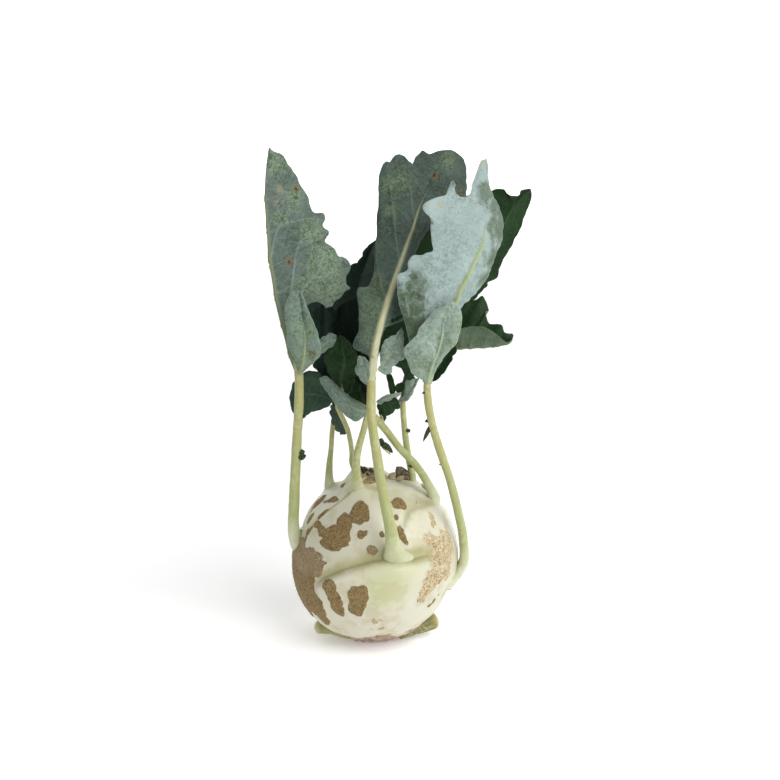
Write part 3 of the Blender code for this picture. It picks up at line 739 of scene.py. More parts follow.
# %% Patches on the skin
# azimuth and height of the middle in degrees and millimetres, half width, half height, tilt in degrees
CORK = (
    (-31, 67.8, 9.4, 6.6, 12), (-30, 75.5, 3.4, 4.4, 0), (-24, 73, 2.8, 3.4, 0),
    (-38, 63.2, 5.6, 2.6, -10), (-60.5, 67.6, 4.0, 2.4, 50), (-54, 70.6, 4.6, 2.0, 5),
    (-46.5, 68.5, 2.6, 3.4, 0), (-66.5, 63.4, 2.4, 4.0, 0), (-16.7, 79.3, 5.6, 6.2, 0),
    (-11.9, 69.8, 1.9, 2.3, 0), (-8, 71, 1.5, 1.2, 40), (20.5, 68.8, 2.3, 5.2, 12),
    (18, 77.9, 1.4, 2.0, 0), (4.8, 70.2, 1.5, 2.5, 0), (24, 83.3, 3.6, 3.7, -10),
    (-62.7, 81.9, 6.6, 2.0, 28), (-58.7, 75.1, 1.4, 3.2, -25), (-73.5, 87, 2.1, 1.4, 20),
    (-84, 78, 3.6, 7.0, -10), (-74, 71.5, 2.4, 5.0, -15), (-30.2, 42.8, 4.4, 3.8, 0),
    (-27.6, 37, 4.4, 6.6, 17), (-25.8, 30.5, 3.5, 5.8, 17), (-10.8, 38, 5.4, 8.4, -8),
    (-12.0, 32.4, 4.8, 6.0, 0), (-8, 42.5, 2.8, 4.0, -20), (-57, 36, 9.0, 9.0, 0),
    (-48.5, 28.5, 9.4, 9.5, 15), (-43.6, 22.4, 5.0, 7.0, 20), (-68, 40, 10.0, 10.0, 0),
    (-70, 27, 10.0, 13.0, 0), (-88, 42, 10.0, 14.0, 0), (-53, 44, 7.0, 5.0, 0), (49, 30, 1.3, 1.5, 0),
    (44, 28, 1.4, 1.0, 0), (52, 33, 0.9, 0.9, 0), (112, 66, 6.0, 5.0, 0), (150, 50, 9.0, 6.0, 25),
    (172, 72, 5.0, 4.0, 0), (205, 38, 7.0, 9.0, -20), (128, 30, 5.0, 4.0, 40), (232, 66, 6.0, 4.5, 10),
    (188, 24, 4.0, 3.0, 0), (95, 84, 3.0, 2.5, 0),
)
PALE_CORK = (
    (-51, 54.6, 10.6, 4.8, 0), (-45, 50.6, 6.4, 4.8, 0), (-60, 49, 9.0, 6.0, 0), (-72, 54, 9.0, 7.0, 0),
    (-86, 54, 8.0, 9.0, 0), (-2, 62.5, 2.6, 2.2, -30),
)
CRACKED = (
    (50, 63.4, 7.8, 4.6, 0), (50.5, 55.4, 9.0, 6.6, 0), (46.5, 46.5, 7.5, 5.0, 0), (38, 43.4, 5.4, 7.6, -12),
    (35.5, 39.5, 3.4, 5.6, -20), (65.6, 58, 4.0, 9.0, -10), (57, 46.3, 5.4, 7.1, 0), (60, 56, 7.0, 8.0, 0),
    (43, 64.8, 4.0, 2.6, 0), (53.3, 71.4, 1.5, 3.6, -12), (48, 82.5, 0.9, 0.7, 0),
    (2.9, 23.4, 1.8, 2.2, 0), (7, 18, 1.2, 0.9, 0),
)


def patch_field(points, patches, seed, bend=0.4):
    """About how many millimetres a point lies inside the nearest patch, below 0 outside."""
    field = np.full(len(points), -4.0)
    wobble = bend * waves(points, 5.0, seed) + 0.5 * bend * waves(points, 2.2, seed + 1)
    for azimuth, height, half_width, half_height, tilt in patches:
        turn = math.radians(azimuth)
        centre = bulb_point(np.array(turn), np.array(float(height)))
        near = bulb_point(np.array([turn, turn + 0.02]), np.array([height + 0.5, height]))
        up = unit(near[0] - centre)
        across = unit(near[1] - centre)
        away = points - centre
        x = away @ across
        y = away @ up
        lean = math.radians(tilt)
        x, y = x * math.cos(lean) + y * math.sin(lean), y * math.cos(lean) - x * math.sin(lean)
        ratio = np.sqrt((x / half_width) ** 2 + (y / half_height) ** 2)
        inside = (1 - ratio) * min(half_width, half_height) - wobble
        reach = np.linalg.norm(away, axis=1) < 3 * max(half_width, half_height)
        field = np.where(reach, np.maximum(field, inside), field)
    return np.clip(field, -4.0, 4.0)


print("patches on the bulb:", len(CORK) + len(PALE_CORK) + len(CRACKED))

# %% [markdown]
# ### The bulb's mesh
# The rings are an equal angle apart, so their heights are closest together at the top and the bottom. Then
# the points move: out under every stalk, where the skin rises to a foot, and a little out in each patch,
# because cork stands proud. The crown in the middle of the top is a dry scab.

# %% Bulb mesh
BULB_SEGMENTS = 340
BULB_RINGS = 270
# How far the skin rises to a stalk's foot, how wide and how high that rise is, and how far below the foot
# it lies
FEET = {
    "stalk_left": (1.2, 9.0, 5.0, 4), "stalk_front": (3.6, 13.0, 6.0, 5), "stalk_right": (2.6, 7.5, 6.0, 0),
    "stalk_back_left": (2.8, 6.0, 5.5, 3), "stalk_crown_left": (2.4, 5.0, 5.0, 0),
    "stalk_crown_front": (3.4, 7.0, 6.0, 0), "stalk_shoulder_right": (2.4, 8.0, 4.0, 0),
    "stalk_back_right": (1.4, 5.5, 5.0, 2),
}
# Where the skin lies lower than the even curve: azimuth, height, depth, and how wide and how high that is
FLAT_SIDES = ((95, 27, 2.2, 34, 10), (-90, 58, 1.7, 38, 13), (80, 88, 1.2, 45, 12))
BELLY = (0.1, 43.0)  # azimuth in radians and height of the middle of the greener skin in front
BELLY_SIZE = (12.0, 30.0, 11.0)
SCAB_MIDDLE = (-1.0, -5.0)  # the dry scab on top, seen from above
SCAB_RADIUS = 13.0
MOUND_MIDDLE = (-4.5, -1.0)  # the rise that carries the growing point, seen from above
MOUND_RADIUS = 12.0
MOUND_RISE = 4.4


def bulb():
    turns = 2 * math.pi * np.arange(BULB_SEGMENTS) / BULB_SEGMENTS
    angles = -BASE_ANGLE + (math.pi / 2 + BASE_ANGLE) * np.arange(BULB_RINGS) / BULB_RINGS
    low = BULB_WAIST + BULB_WAIST * np.sin(angles) / math.sin(BASE_ANGLE)
    high = BULB_WAIST + (BULB_HEIGHT - BULB_WAIST) * np.sin(angles)
    heights = np.where(angles < 0, low, high)
    turn, height = np.meshgrid(turns, heights)
    points = bulb_point(turn, height).reshape(-1, 3)
    angle = np.repeat(angles, BULB_SEGMENTS)
    turn = turn.reshape(-1)
    outward = np.stack([np.sin(turn) * np.cos(angle), -np.cos(turn) * np.cos(angle), np.sin(angle)], axis=1)
    smooth = points.copy()
    green = 0.10 + 0.12 * waves(smooth, 40.0, 3)
    lift, groove_shade, crease_shade = shelves(turn, height.reshape(-1))
    lift += 0.45 * waves(smooth, 30.0, 5) + 0.10 * waves(smooth, 9.0, 6)
    for azimuth, level, depth, wide, tall in FLAT_SIDES:
        off = ((np.degrees(turn) - azimuth + 180) % 360 - 180) / wide
        lift -= depth * np.exp(-(off**2) - ((height.reshape(-1) - level) / tall) ** 2)
    for name, (rise, wide, tall, below) in FEET.items():
        foot = np.array(STALKS[name][0][1], float) - [0.0, 0.0, below]
        out = unit(np.array([foot[0], foot[1], 0.6 * (foot[2] - BULB_WAIST)]))
        across = unit(np.cross([0.0, 0.0, 1.0], out))
        up = np.cross(out, across)
        away = smooth - foot
        spread = (np.abs(away @ across) / wide) ** 1.7 + (np.abs(away @ up) / tall) ** 1.7
        nearby = np.exp(-spread) * (np.linalg.norm(away, axis=1) < 30)
        lift += rise * nearby
        green += 0.3 * np.exp(-spread / 4) * (np.linalg.norm(away, axis=1) < 40)
    belly = (smooth - bulb_point(*np.array(BELLY))) / np.array(BELLY_SIZE)
    green += 0.8 * np.exp(-(belly**2).sum(axis=1))
    pale_cork = patch_field(smooth, PALE_CORK, 31, 0.6)
    cork = np.maximum(patch_field(smooth, CORK, 11), pale_cork)
    cracked = patch_field(smooth, CRACKED, 21, 0.8)
    lift += 0.4 * ease(cork, -0.3, 0.6) * (1 + 0.25 * waves(smooth, 1.6, 41))
    lift += 0.35 * ease(cracked, -0.3, 0.6) * (1 + 0.5 * waves(smooth, 1.8, 42))
    from_crown = np.linalg.norm(smooth[:, :2] - SCAB_MIDDLE, axis=1) / SCAB_RADIUS
    scab = 1.2 - 1.2 * from_crown + 0.25 * waves(smooth, 5.0, 51)
    mound = np.linalg.norm(smooth[:, :2] - MOUND_MIDDLE, axis=1) / MOUND_RADIUS
    lift += np.where(smooth[:, 2] > 70, MOUND_RISE * np.exp(-(mound**4)), 0.0)
    scab = np.where(smooth[:, 2] > 80, scab, -1.0)
    lift += 0.5 * ease(scab, 0.2, 0.7) * waves(smooth, 2.2, 52)
    root = 1.4 * ease(smooth[:, 2], 14.0, 3.0) + 0.35 * waves(smooth, 7.0, 61) * ease(smooth[:, 2], 26.0, 8.0)
    lift += 0.35 * ease(root, 0.3, 0.9) * waves(smooth, 2.6, 62)
    lift *= ease(smooth[:, 2], 0.0, 3.0)
    points = smooth + outward * lift[:, None]
    points = np.vstack([points, [[LEAN[-1][1], 0.0, BULB_HEIGHT]], [[0.0, 0.0, 0.6]]])
    top_middle = BULB_RINGS * BULB_SEGMENTS
    last = top_middle - BULB_SEGMENTS
    neighbours = [(a, (a + 1) % BULB_SEGMENTS) for a in range(BULB_SEGMENTS)]
    faces = ring_faces(BULB_RINGS, BULB_SEGMENTS)
    faces += [(last + a, last + b, top_middle) for a, b in neighbours]
    faces += [(b, a, top_middle + 1) for a, b in neighbours]
    marks = {"groove_shade": groove_shade, "crease_shade": crease_shade, "green": green, "cork": cork, "pale_cork": pale_cork,
             "cracked": cracked, "scab": scab, "root": root}
    marks = {name: np.append(values, values[[-1, 0]]) for name, values in marks.items()}
    make_piece("bulb", points, faces, [BULB_SKIN], marks)


bulb()

# %% [markdown]
# ## The stalks
# A stalk is a round rod that widens at its foot like a trumpet, but only sideways: the leaf base clasps the
# stem. The rod runs a little way on into the rib of its blade, getting thinner, so that no joint shows.

# %% Stalk
STALK_SIDES = 36
STALK_STEP = 0.9  # millimetres between rings, if the part in the rib were 8 mm long


def tube(centres, side, radius, wide, seed):
    """Points and faces of a round rod. wide stretches it along the side direction."""
    ahead = unit(np.gradient(centres, axis=0))
    points = []
    angles = 2 * math.pi * np.arange(STALK_SIDES) / STALK_SIDES
    for centre, direction, size, extra in zip(centres, ahead, radius, wide):
        side = unit(side - direction * np.dot(side, direction))
        other = np.cross(direction, side)
        ring = np.outer(np.cos(angles) * (size + extra), side)
        ring = ring + np.outer(np.sin(angles) * (size + 0.4 * extra), other)
        points.append(centre + ring)
    points = np.array(points)
    grain = 1 + 0.035 * waves(points, 12.0, seed) + 0.012 * waves(points, 2.5, seed + 1)
    points = centres[:, None] + (points - centres[:, None]) * grain[..., None]
    count = len(centres)
    faces = ring_faces(count, STALK_SIDES)
    faces.append(list(reversed(range(STALK_SIDES))))
    faces.append(list(range((count - 1) * STALK_SIDES, count * STALK_SIDES)))
    return points.reshape(-1, 3), faces


def stalk(name, flare, flare_length, into=(), seed=0):
    """flare is the extra half width at the foot. into holds points in the rib where the rod thins out."""
    route, (foot, middle_radius, end) = STALKS[name]
    main = length_of(route)
    steps = round((main + 8) / STALK_STEP)
    centres = smooth_line((*route, *into), steps)
    away = np.linspace(0.0, 1.0, steps + 1) * length_of(centres)
    share = np.minimum(1.0, away / main)
    radius = middle_radius + (foot - middle_radius) * np.exp(-away / 6.0) + (end - middle_radius) * share
    radius = radius * (1 - 0.85 * ease(away, main - 1, away[-1]))
    wide = flare * np.exp(-away / flare_length)
    side = unit(np.array([-route[1][1], route[1][0], 0.0]))
    points, faces = tube(centres, side, radius, wide, seed)
    marks = {"along": np.repeat(share, STALK_SIDES)}
    make_piece(name, points, faces, [STALK_SKIN], marks)


stalk("stalk_left", 5.0, 9, ((-42, -19.5, 160), (-43, -19.5, 166)), 1)
stalk("stalk_front", 13.0, 9.5, ((-1.2, -40.2, 158), (-0.4, -39.5, 165)), 2)
stalk("stalk_right", 5.0, 9, ((28, -39, 158), (29, -38.5, 164)), 3)
stalk("stalk_back_left", 5.0, 8, ((-21, 12, 133), (-20.5, 13, 138)), 4)
stalk("stalk_crown_left", 2.5, 6, ((-21.5, -6, 136), (-22.5, -5, 141)), 5)
stalk("stalk_crown_front", 6.0, 7, ((-3.5, -20, 142), (-4, -18, 147)), 6)
stalk("stalk_shoulder_right", 5.0, 6, ((-17, -17, 143), (-17.5, -17.5, 147)), 7)
stalk("stalk_back_right", 3.5, 7, ((16, -1, 138), (17, 1, 143)), 8)

# %% [markdown]
# ## How a blade is laid out
# A blade is a grid. Its rows start on the rib and run out to the margin the way side veins do, slanting
# towards the tip, and its columns run from base to tip. The margin is a list of measured points, close
# together where it can be seen well. Elsewhere the outline is coarse and small teeth are added, because the
# margin of such a leaf is toothed all round.

# %% Margin of a blade
VEIN_LEAD = 0.7  # how far a side vein runs towards the tip for each millimetre that it runs outwards
RIB_STEPS = 200


def margin(rib, outline, radius, tooth_depth, lead, seed):
    """A margin as dense points, and the share of the rib where the row of each point starts."""
    fine = smooth_line(rib, RIB_STEPS)
    ahead = unit(np.gradient(fine, axis=0))
    outer = np.array(outline, float)
    aside = outer[0] - fine[0]
    first = fine[0] + 0.9 * radius * unit(aside - ahead[0] * np.dot(aside, ahead[0]))
    last = fine[-1] + 0.4 * unit(outer[-1] - fine[-1])
    stops = np.vstack([first, outer, last])
    steps = round(length_of(stops) / 0.5)
    line = smooth_line(stops, steps)
    along = np.linspace(0.0, 1.0, steps + 1)
    gaps = np.linalg.norm(line[:, None] - fine[None], axis=2)
    near = gaps.argmin(axis=1)
    travelled = along * length_of(line)
    tooth = 5.2 + 1.2 * waves(line, 40.0, seed)
    bumps = np.abs(np.sin(np.pi * np.cumsum(np.gradient(travelled) / tooth))) ** 0.6 - 0.62
    bumps = bumps * (1 + 0.5 * waves(line, 17.0, seed + 1)) + 0.25 * waves(line, 2.2, seed + 2)
    bumps *= np.minimum(1.0, 12 * np.minimum(along, 1 - along))
    line = line + unit(line - fine[near]) * (tooth_depth * bumps)[:, None]
    starts = line - lead * gaps.min(axis=1)[:, None] * ahead[near]
    roots = np.linalg.norm(starts[:, None] - fine[None], axis=2).argmin(axis=1) / RIB_STEPS
    roots = np.maximum.accumulate(roots)
    roots = 0.6 * (roots - roots[0]) / (roots[-1] - roots[0] + 1e-6) + 0.4 * along
    return line, roots


def blur(field, passes):
    """Each value moves towards the mean of its neighbours in the grid."""
    for _ in range(passes):
        for axis in (0, 1):
            padded = np.concatenate([field.take([0], axis), field, field.take([-1], axis)], axis)
            size = field.shape[axis]
            before = padded.take(range(size), axis)
            after = padded.take(range(2, size + 2), axis)
            field = 0.25 * before + 0.5 * field + 0.25 * after
    return field


print("a blade's rows lead towards the tip by", VEIN_LEAD, "mm for each mm outwards")

# %% [markdown]
# ### Veins
# Side veins leave the rib in turn and fork before the margin. The ones that show are measured points, and
# the rest follow the rows of the grid. For every point of the blade the distance to the nearest vein is
# looked up; that one number later lifts the surface and tints it.

# %% Distance to the veins
FROM_THE_FRONT = (1.0, 0.3, 1.0)  # depth counts for less when the nearest point of the sheet is looked up


def vein_lines(sheet, shares, columns, measured, count, seed):
    """Points along all side veins on the sheet, each with its strength."""
    dice = np.random.default_rng(seed)
    tree = kdtree.KDTree(sheet.shape[0] * sheet.shape[1])
    flat = sheet.reshape(-1, 3) * FROM_THE_FRONT
    for index, point in enumerate(flat):
        tree.insert(point, index)
    tree.balance()
    found = []
    for line in measured:
        dense = smooth_line(line, round(length_of(line) / 0.4))
        for place, strength in zip(dense, np.linspace(1.0, 0.6, len(dense))):
            nearest = tree.find(place * FROM_THE_FRONT)[1]
            found.append((*sheet.reshape(-1, 3)[nearest], strength))
    rows = np.arange(len(shares))
    for side in (-1, 1):
        for k in range(count):
            start = 0.05 + 0.85 * (k + 0.35 * dice.uniform()) / count
            drift = dice.uniform(-0.03, 0.05)
            split = dice.uniform(0.35, 0.6)
            for fork in (-0.055, 0.0, 0.05):
                for v in np.arange(0.0, 0.95, 0.012):
                    if fork and v < split:
                        continue
                    share = start + drift * v**2 + fork * max(0.0, v - split) * 2 * (1.2 - start)
                    if share > 0.98:
                        continue
                    row = round(float(np.interp(share, shares, rows)))
                    column = int(np.abs(columns - side * v).argmin())
                    strength = (0.7 if fork == 0 else 0.45) * (1 - 0.55 * v)
                    found.append((*sheet[row, column], strength))
    return np.array(found)


def near_lines(points, lines):
    """Distance from each point to the nearest line point, and that line point's strength."""
    tree = kdtree.KDTree(len(lines))
    for index, line in enumerate(lines):
        tree.insert(line[:3], index)
    tree.balance()
    hits = [tree.find(point) for point in points]
    return np.array([hit[2] for hit in hits]), lines[[hit[1] for hit in hits], 3]


print("forked side veins are ready")

# %% [markdown]
# ### One blade
# The sheet is first stretched between rib and margins, then shaped: each half arches a little, the area
# between the veins billows and the margin frills. The rib is a rounded ridge on the underside that thins
# out towards the tip. The two faces and the thin rim between them close the piece. Where an insect has
# eaten a hole, the faces inside are left out, the points around it move to its rim, and the hole gets a rim
# of its own.

# %% Blade
BLADE_STEP = 0.8  # millimetres between rows where the margin is longest
THICKNESS = 0.5


def blade(name, rib, left, right, under, radius, finishes, cup=1.6, billow=1.3, frill=0.8, teeth=(0.9, 0.9),
          veins=(), laterals=6, spots=(), holes=(), columns=26, seed=0, rib_end=0.95,
          rib_fade=0.35, lead=VEIN_LEAD):
    """A blade between its rib and its two margins.

    under is +1 where the underside faces the front and -1 where it faces the back. finishes are underside,
    upper. rib_end is the share of the blade's length where the rib is lost in the blade, and rib_fade the
    share of it over which its colour is lost. spots are (mark, x, z, size) and holes (x, z, size, brownness
    of the rim), seen from the front.
    """
    edges = (
        margin(rib, left, radius, teeth[0], lead, seed), margin(rib, right, radius, teeth[1], lead, seed + 7)
    )
    even = np.linspace(0.0, 1.0, 3001)
    tracks = [along_line(rib, even)]
    for line, roots in edges:
        tracks.append(np.stack([np.interp(even, roots, line[:, k]) for k in range(3)], axis=1))
    stride = np.max([np.linalg.norm(np.diff(track, axis=0), axis=1) for track in tracks], axis=0)
    travelled = np.concatenate([[0.0], np.cumsum(stride)])
    rows = max(16, round(travelled[-1] / BLADE_STEP))
    shares = np.interp(np.linspace(0.0, travelled[-1], rows + 1), travelled, even)
    middle, side_left, side_right = [
        np.stack([np.interp(shares, even, track[:, k]) for k in range(3)], axis=1) for track in tracks
    ]
    half = (np.arange(columns + 1) / columns) ** 1.25
    across_share = np.concatenate([-half[:0:-1], half])
    reach = np.abs(across_share)[None, :, None]
    target = np.where(across_share[None, :, None] < 0, side_left[:, None], side_right[:, None])
    flat = middle[:, None] * (1 - reach) + target * reach
    width = np.linalg.norm(target - middle[:, None], axis=2)
    reach = reach[..., 0]

    front = unit(blur(unit(np.cross(np.gradient(flat, axis=1), np.gradient(flat, axis=0))), 14))
    body = np.sin(np.pi * np.clip(shares, 0.02, 0.98))[:, None] ** 0.5
    fullness = ease(width, 2.0, 14.0)
    shape = cup * body * np.sin(np.pi * reach)
    shape = shape + billow * waves(flat, 34.0, seed + 20) * ease(reach, 0.05, 0.6) * fullness
    shape = shape + frill * waves(target, 15.0, seed + 21) * reach**3 * fullness
    shape = shape + 0.22 * waves(flat, 8.0, seed + 22) * fullness * ease(reach, 0.0, 0.3)
    sheet = flat + front * [0.3, 1.0, 0.3] * under * shape[..., None]
    outward = np.cross(np.gradient(sheet, axis=1), np.gradient(sheet, axis=0))
    outward = unit(blur(unit(outward), 5)) * under

    lines = vein_lines(sheet, shares, across_share, veins, laterals, seed + 30)
    to_vein, strength = near_lines(sheet.reshape(-1, 3), lines)
    to_vein = to_vein.reshape(sheet.shape[:2])
    strength = strength.reshape(sheet.shape[:2]) * ease(width, 1.0, 6.0)
    to_rib = reach * width
    left_over = np.maximum(0.0, 1 - shares[:, None] / rib_end)
    rib_radius = 0.2 + (radius - 0.2) * left_over**0.65
    ridge = rib_radius * np.exp(-((to_rib / (0.95 * rib_radius)) ** 3.0))
    ridge = ridge * (0.8 + 0.2 * ease(shares, 0, 0.05))[:, None]
    raised = strength * (0.34 * np.exp(-((to_vein / 0.75) ** 2)) + 0.45 * np.exp(-to_vein / 3.0))
    skin = THICKNESS * (0.35 + 0.65 * ease((1 - reach) * width, 0.0, 2.5)) / 2
    outer = sheet + outward * (skin + ridge + raised)[..., None]
    groove = 0.25 * ridge * ease(shares[:, None], 0.05, 0.2)
    inner = sheet - outward * (skin - 0.75 * raised - groove)[..., None]

    kept = np.ones((rows, 2 * columns), bool)
    rim_wear = np.zeros(sheet.shape[:2])
    for x, z, size, brown in holes:
        away = outer[..., [0, 2]] - [x, z]
        distance = np.linalg.norm(away, axis=2)
        inside = distance < size
        kept &= ~(inside[:-1, :-1] & inside[1:, :-1] & inside[:-1, 1:] & inside[1:, 1:])
        push = unit(away) * np.maximum(0.0, size - distance)[..., None]
        for face in (outer, inner):
            face[..., [0, 2]] += push
        rim_wear = np.maximum(rim_wear, brown * np.exp(-((np.maximum(distance - size, 0) / 0.9) ** 2)))

    across_count = 2 * columns + 1
    size = (rows + 1) * across_count
    points = np.vstack([outer.reshape(-1, 3), inner.reshape(-1, 3)])
    row, column = np.nonzero(kept)
    corner = row * across_count + column
    over = np.stack([corner, corner + 1, corner + 1 + across_count, corner + across_count], axis=1)
    below = over[:, ::-1] + size
    walls = []
    framed = np.pad(kept, 1)
    for step, start, end in (((-1, 0), 0, 1), ((0, 1), 1, 2), ((1, 0), 2, 3), ((0, -1), 3, 0)):
        open_side = ~framed[row + 1 + step[0], column + 1 + step[1]]
        a, b = over[open_side, start], over[open_side, end]
        walls.append(np.stack([b, a, a + size, b + size], axis=1))
    walls = np.vstack(walls)
    faces = np.vstack([over, below, walls])
    if under < 0:
        faces = faces[:, ::-1]
    finish_of_face = [0] * len(over) + [1] * len(below) + [1] * len(walls)

    marks = {
        "rib": np.exp(-((to_rib / (rib_radius + 0.1)) ** 2)) * ease(left_over, 0.0, rib_fade),
        "vein": strength * np.exp(-((to_vein / 0.65) ** 2)),
        "edge": (1 - reach) * width,
        "rust": rim_wear,
        "pale": np.zeros(sheet.shape[:2]),
        "bare": np.zeros(sheet.shape[:2]),
        "green": np.zeros(sheet.shape[:2]),
    }
    for kind, x, z, spot in spots:
        distance = np.linalg.norm(sheet[..., [0, 2]] - [x, z], axis=2)
        marks[kind] = np.maximum(marks[kind], np.exp(-((distance / spot) ** 2)))
    marks = {kind: np.tile(values.reshape(-1), 2) for kind, values in marks.items()}
    make_piece(name, points, faces.tolist(), finishes, marks, finish_of_face)


print("a blade has a row every", BLADE_STEP, "mm")

# %% [markdown]
# ## The left leaf
# This blade stands upright on the far left and shows its grey underside. Its left half is folded back. Two
# flaps grow at its base: a large one that hangs in front of the stalk and a small one tucked behind it.

# %% Left leaf
FLAP = (UNDER_FLAP, UPPER)
FLAP_LEFT = (UNDER_FLAP_LEFT, UPPER)
blade(
    "blade_left",
    rib=((-41, -19, 154), (-44, -19, 164), (-47, -18, 176), (-50, -17, 187), (-52, -16, 199), (-54, -14, 213),
         (-55, -12.5, 226), (-56, -11, 240), (-56, -10, 250), (-55.5, -8, 260), (-54.3, -6, 269.5)),
    left=((-39, -6, 166), (-36, 5, 178), (-36, 12, 195), (-38, 15, 215), (-43, 13, 236), (-49, 6, 255)),
    right=((-35, -18, 157), (-37, -17, 164), (-36, -16, 176), (-35, -15, 185), (-34, -14, 189),
           (-32, -13, 190), (-30, -13, 189), (-29, -12, 188), (-26, -12, 188), (-23, -12, 187),
           (-21, -11, 190), (-18, -10, 192), (-16, -9, 195), (-13, -9, 197), (-15, -9, 199),
           (-15, -8, 203), (-13, -7, 206), (-13, -7, 209), (-14, -7, 211), (-17, -7, 213),
           (-19, -7, 213), (-20, -7, 215), (-21, -7, 217), (-23, -8, 219), (-26, -8, 221),
           (-25, -8, 224), (-24, -9, 225), (-24, -9, 227), (-26, -9, 228), (-27, -9, 230),
           (-26, -8, 232), (-26, -8, 235), (-27, -8, 236), (-31, -8, 236), (-33, -8, 238),
           (-34, -8, 242), (-35, -7, 245), (-37, -7, 248), (-39, -7, 251), (-40, -6, 254),
           (-42, -6, 257), (-44, -6, 260), (-45, -6, 261), (-47, -6, 265), (-49, -5, 266.5),
           (-51, -5, 267), (-53, -5.5, 268)),
    under=1, radius=1.2, finishes=(UNDER_LEFT, UPPER), cup=1.4, billow=1.6, teeth=(0.9, 0.15), columns=34,
    seed=100,
    veins=(
        ((-54, -14, 211), (-52, -13, 223), (-49, -13, 230), (-46, -12, 234), (-44, -11, 240)),
        ((-46, -12, 231), (-41, -11, 232), (-36, -10, 233), (-32, -9, 233)),
        ((-44, -16, 194), (-43, -15, 200), (-41, -13, 214), (-38, -12, 222), (-35, -11, 224), (-31, -10, 226),
         (-26, -9, 227)),
        ((-31, -10, 226), (-31, -10, 229), (-29, -9, 233)),
        ((-40, -15, 193), (-36, -14, 199), (-32, -13, 203), (-29, -12, 206), (-23, -11, 210), (-18, -9, 212)),
        ((-29, -12, 206), (-28, -11, 211), (-26, -10, 215), (-22, -9, 217)),
        ((-32, -13, 203), (-26, -11, 204), (-20, -9, 206)),
    ),
    spots=(
        ("rust", -45, 211, 2.4), ("rust", -41, 248, 2.2), ("pale", -49, 248, 3.0),
        ("pale", -50, 241, 3.2), ("pale", -24, 197, 1.8), ("bare", -51, 262, 8.0),
        ("bare", -42, 244, 6.0), ("bare", -49, 233, 4.5), ("bare", -33, 226, 7.0),
        ("bare", -26, 212, 11.0), ("bare", -24, 199, 12.0), ("bare", -33, 200, 8.0),
        ("green", -54.5, 266, 2.6), ("green", -46, 259, 1.4), ("green", -51, 256, 1.3),
        ("green", -41, 244, 1.5), ("green", -37, 205, 1.6), ("green", -35, 214, 1.4),
        ("green", -29, 221, 1.6),
    ),
    holes=((-31, 184.5, 5.6, 0.0),),
)
blade(
    "lobe_left_large",
    rib=((-39, -24, 154), (-37, -27, 161), (-36, -28, 170), (-36, -28, 178), (-37, -27, 185), (-38, -26, 193),
         (-39, -25, 198)),
    left=((-40, -25, 155), (-42, -26, 162), (-45, -28, 170), (-45, -29, 177), (-46, -29, 184),
          (-46, -29, 189), (-44, -27, 195), (-42, -26, 197)),
    right=((-37, -25, 155), (-34, -26, 158), (-30, -27, 162), (-28, -28, 166), (-28, -29, 171),
           (-29, -29, 176), (-31, -29, 181), (-33, -29, 186), (-35, -28, 191), (-37, -26, 196)),
    under=1, radius=1.0, rib_end=0.7, finishes=FLAP_LEFT, cup=1.0, billow=0.8, teeth=(0.25, 0.25), seed=110,
    spots=(("rust", -33, 166.5, 1.4), ("rust", -31, 165, 1.2), ("bare", -38, 160, 8.0),
           ("bare", -36, 178, 8.0), ("green", -32, 164, 2.4)),
    holes=((-31.4, 165.8, 0.8, 0.8), (-33.2, 166.6, 0.5, 0.8)),
)
blade(
    "lobe_left_small",
    rib=((-35, -21, 158), (-31, -20, 164), (-26, -19, 169), (-20, -17, 173)),
    left=((-34, -20, 163), (-29, -19, 170), (-24, -17, 174)),
    right=((-32, -20, 159), (-27, -19, 164), (-21, -18, 169)),
    under=1, radius=0.6, finishes=FLAP_LEFT, cup=0.6, billow=0.5, laterals=3, columns=16, seed=120,
)

# %% [markdown]
# ## The front leaf
# The front leaf stands in the middle on the thickest stalk. Its rib is the lightest line of the whole
# plant. Low on the left the blade narrows to a thin wing, and on the right it breaks off in a tooth with
# three small holes.

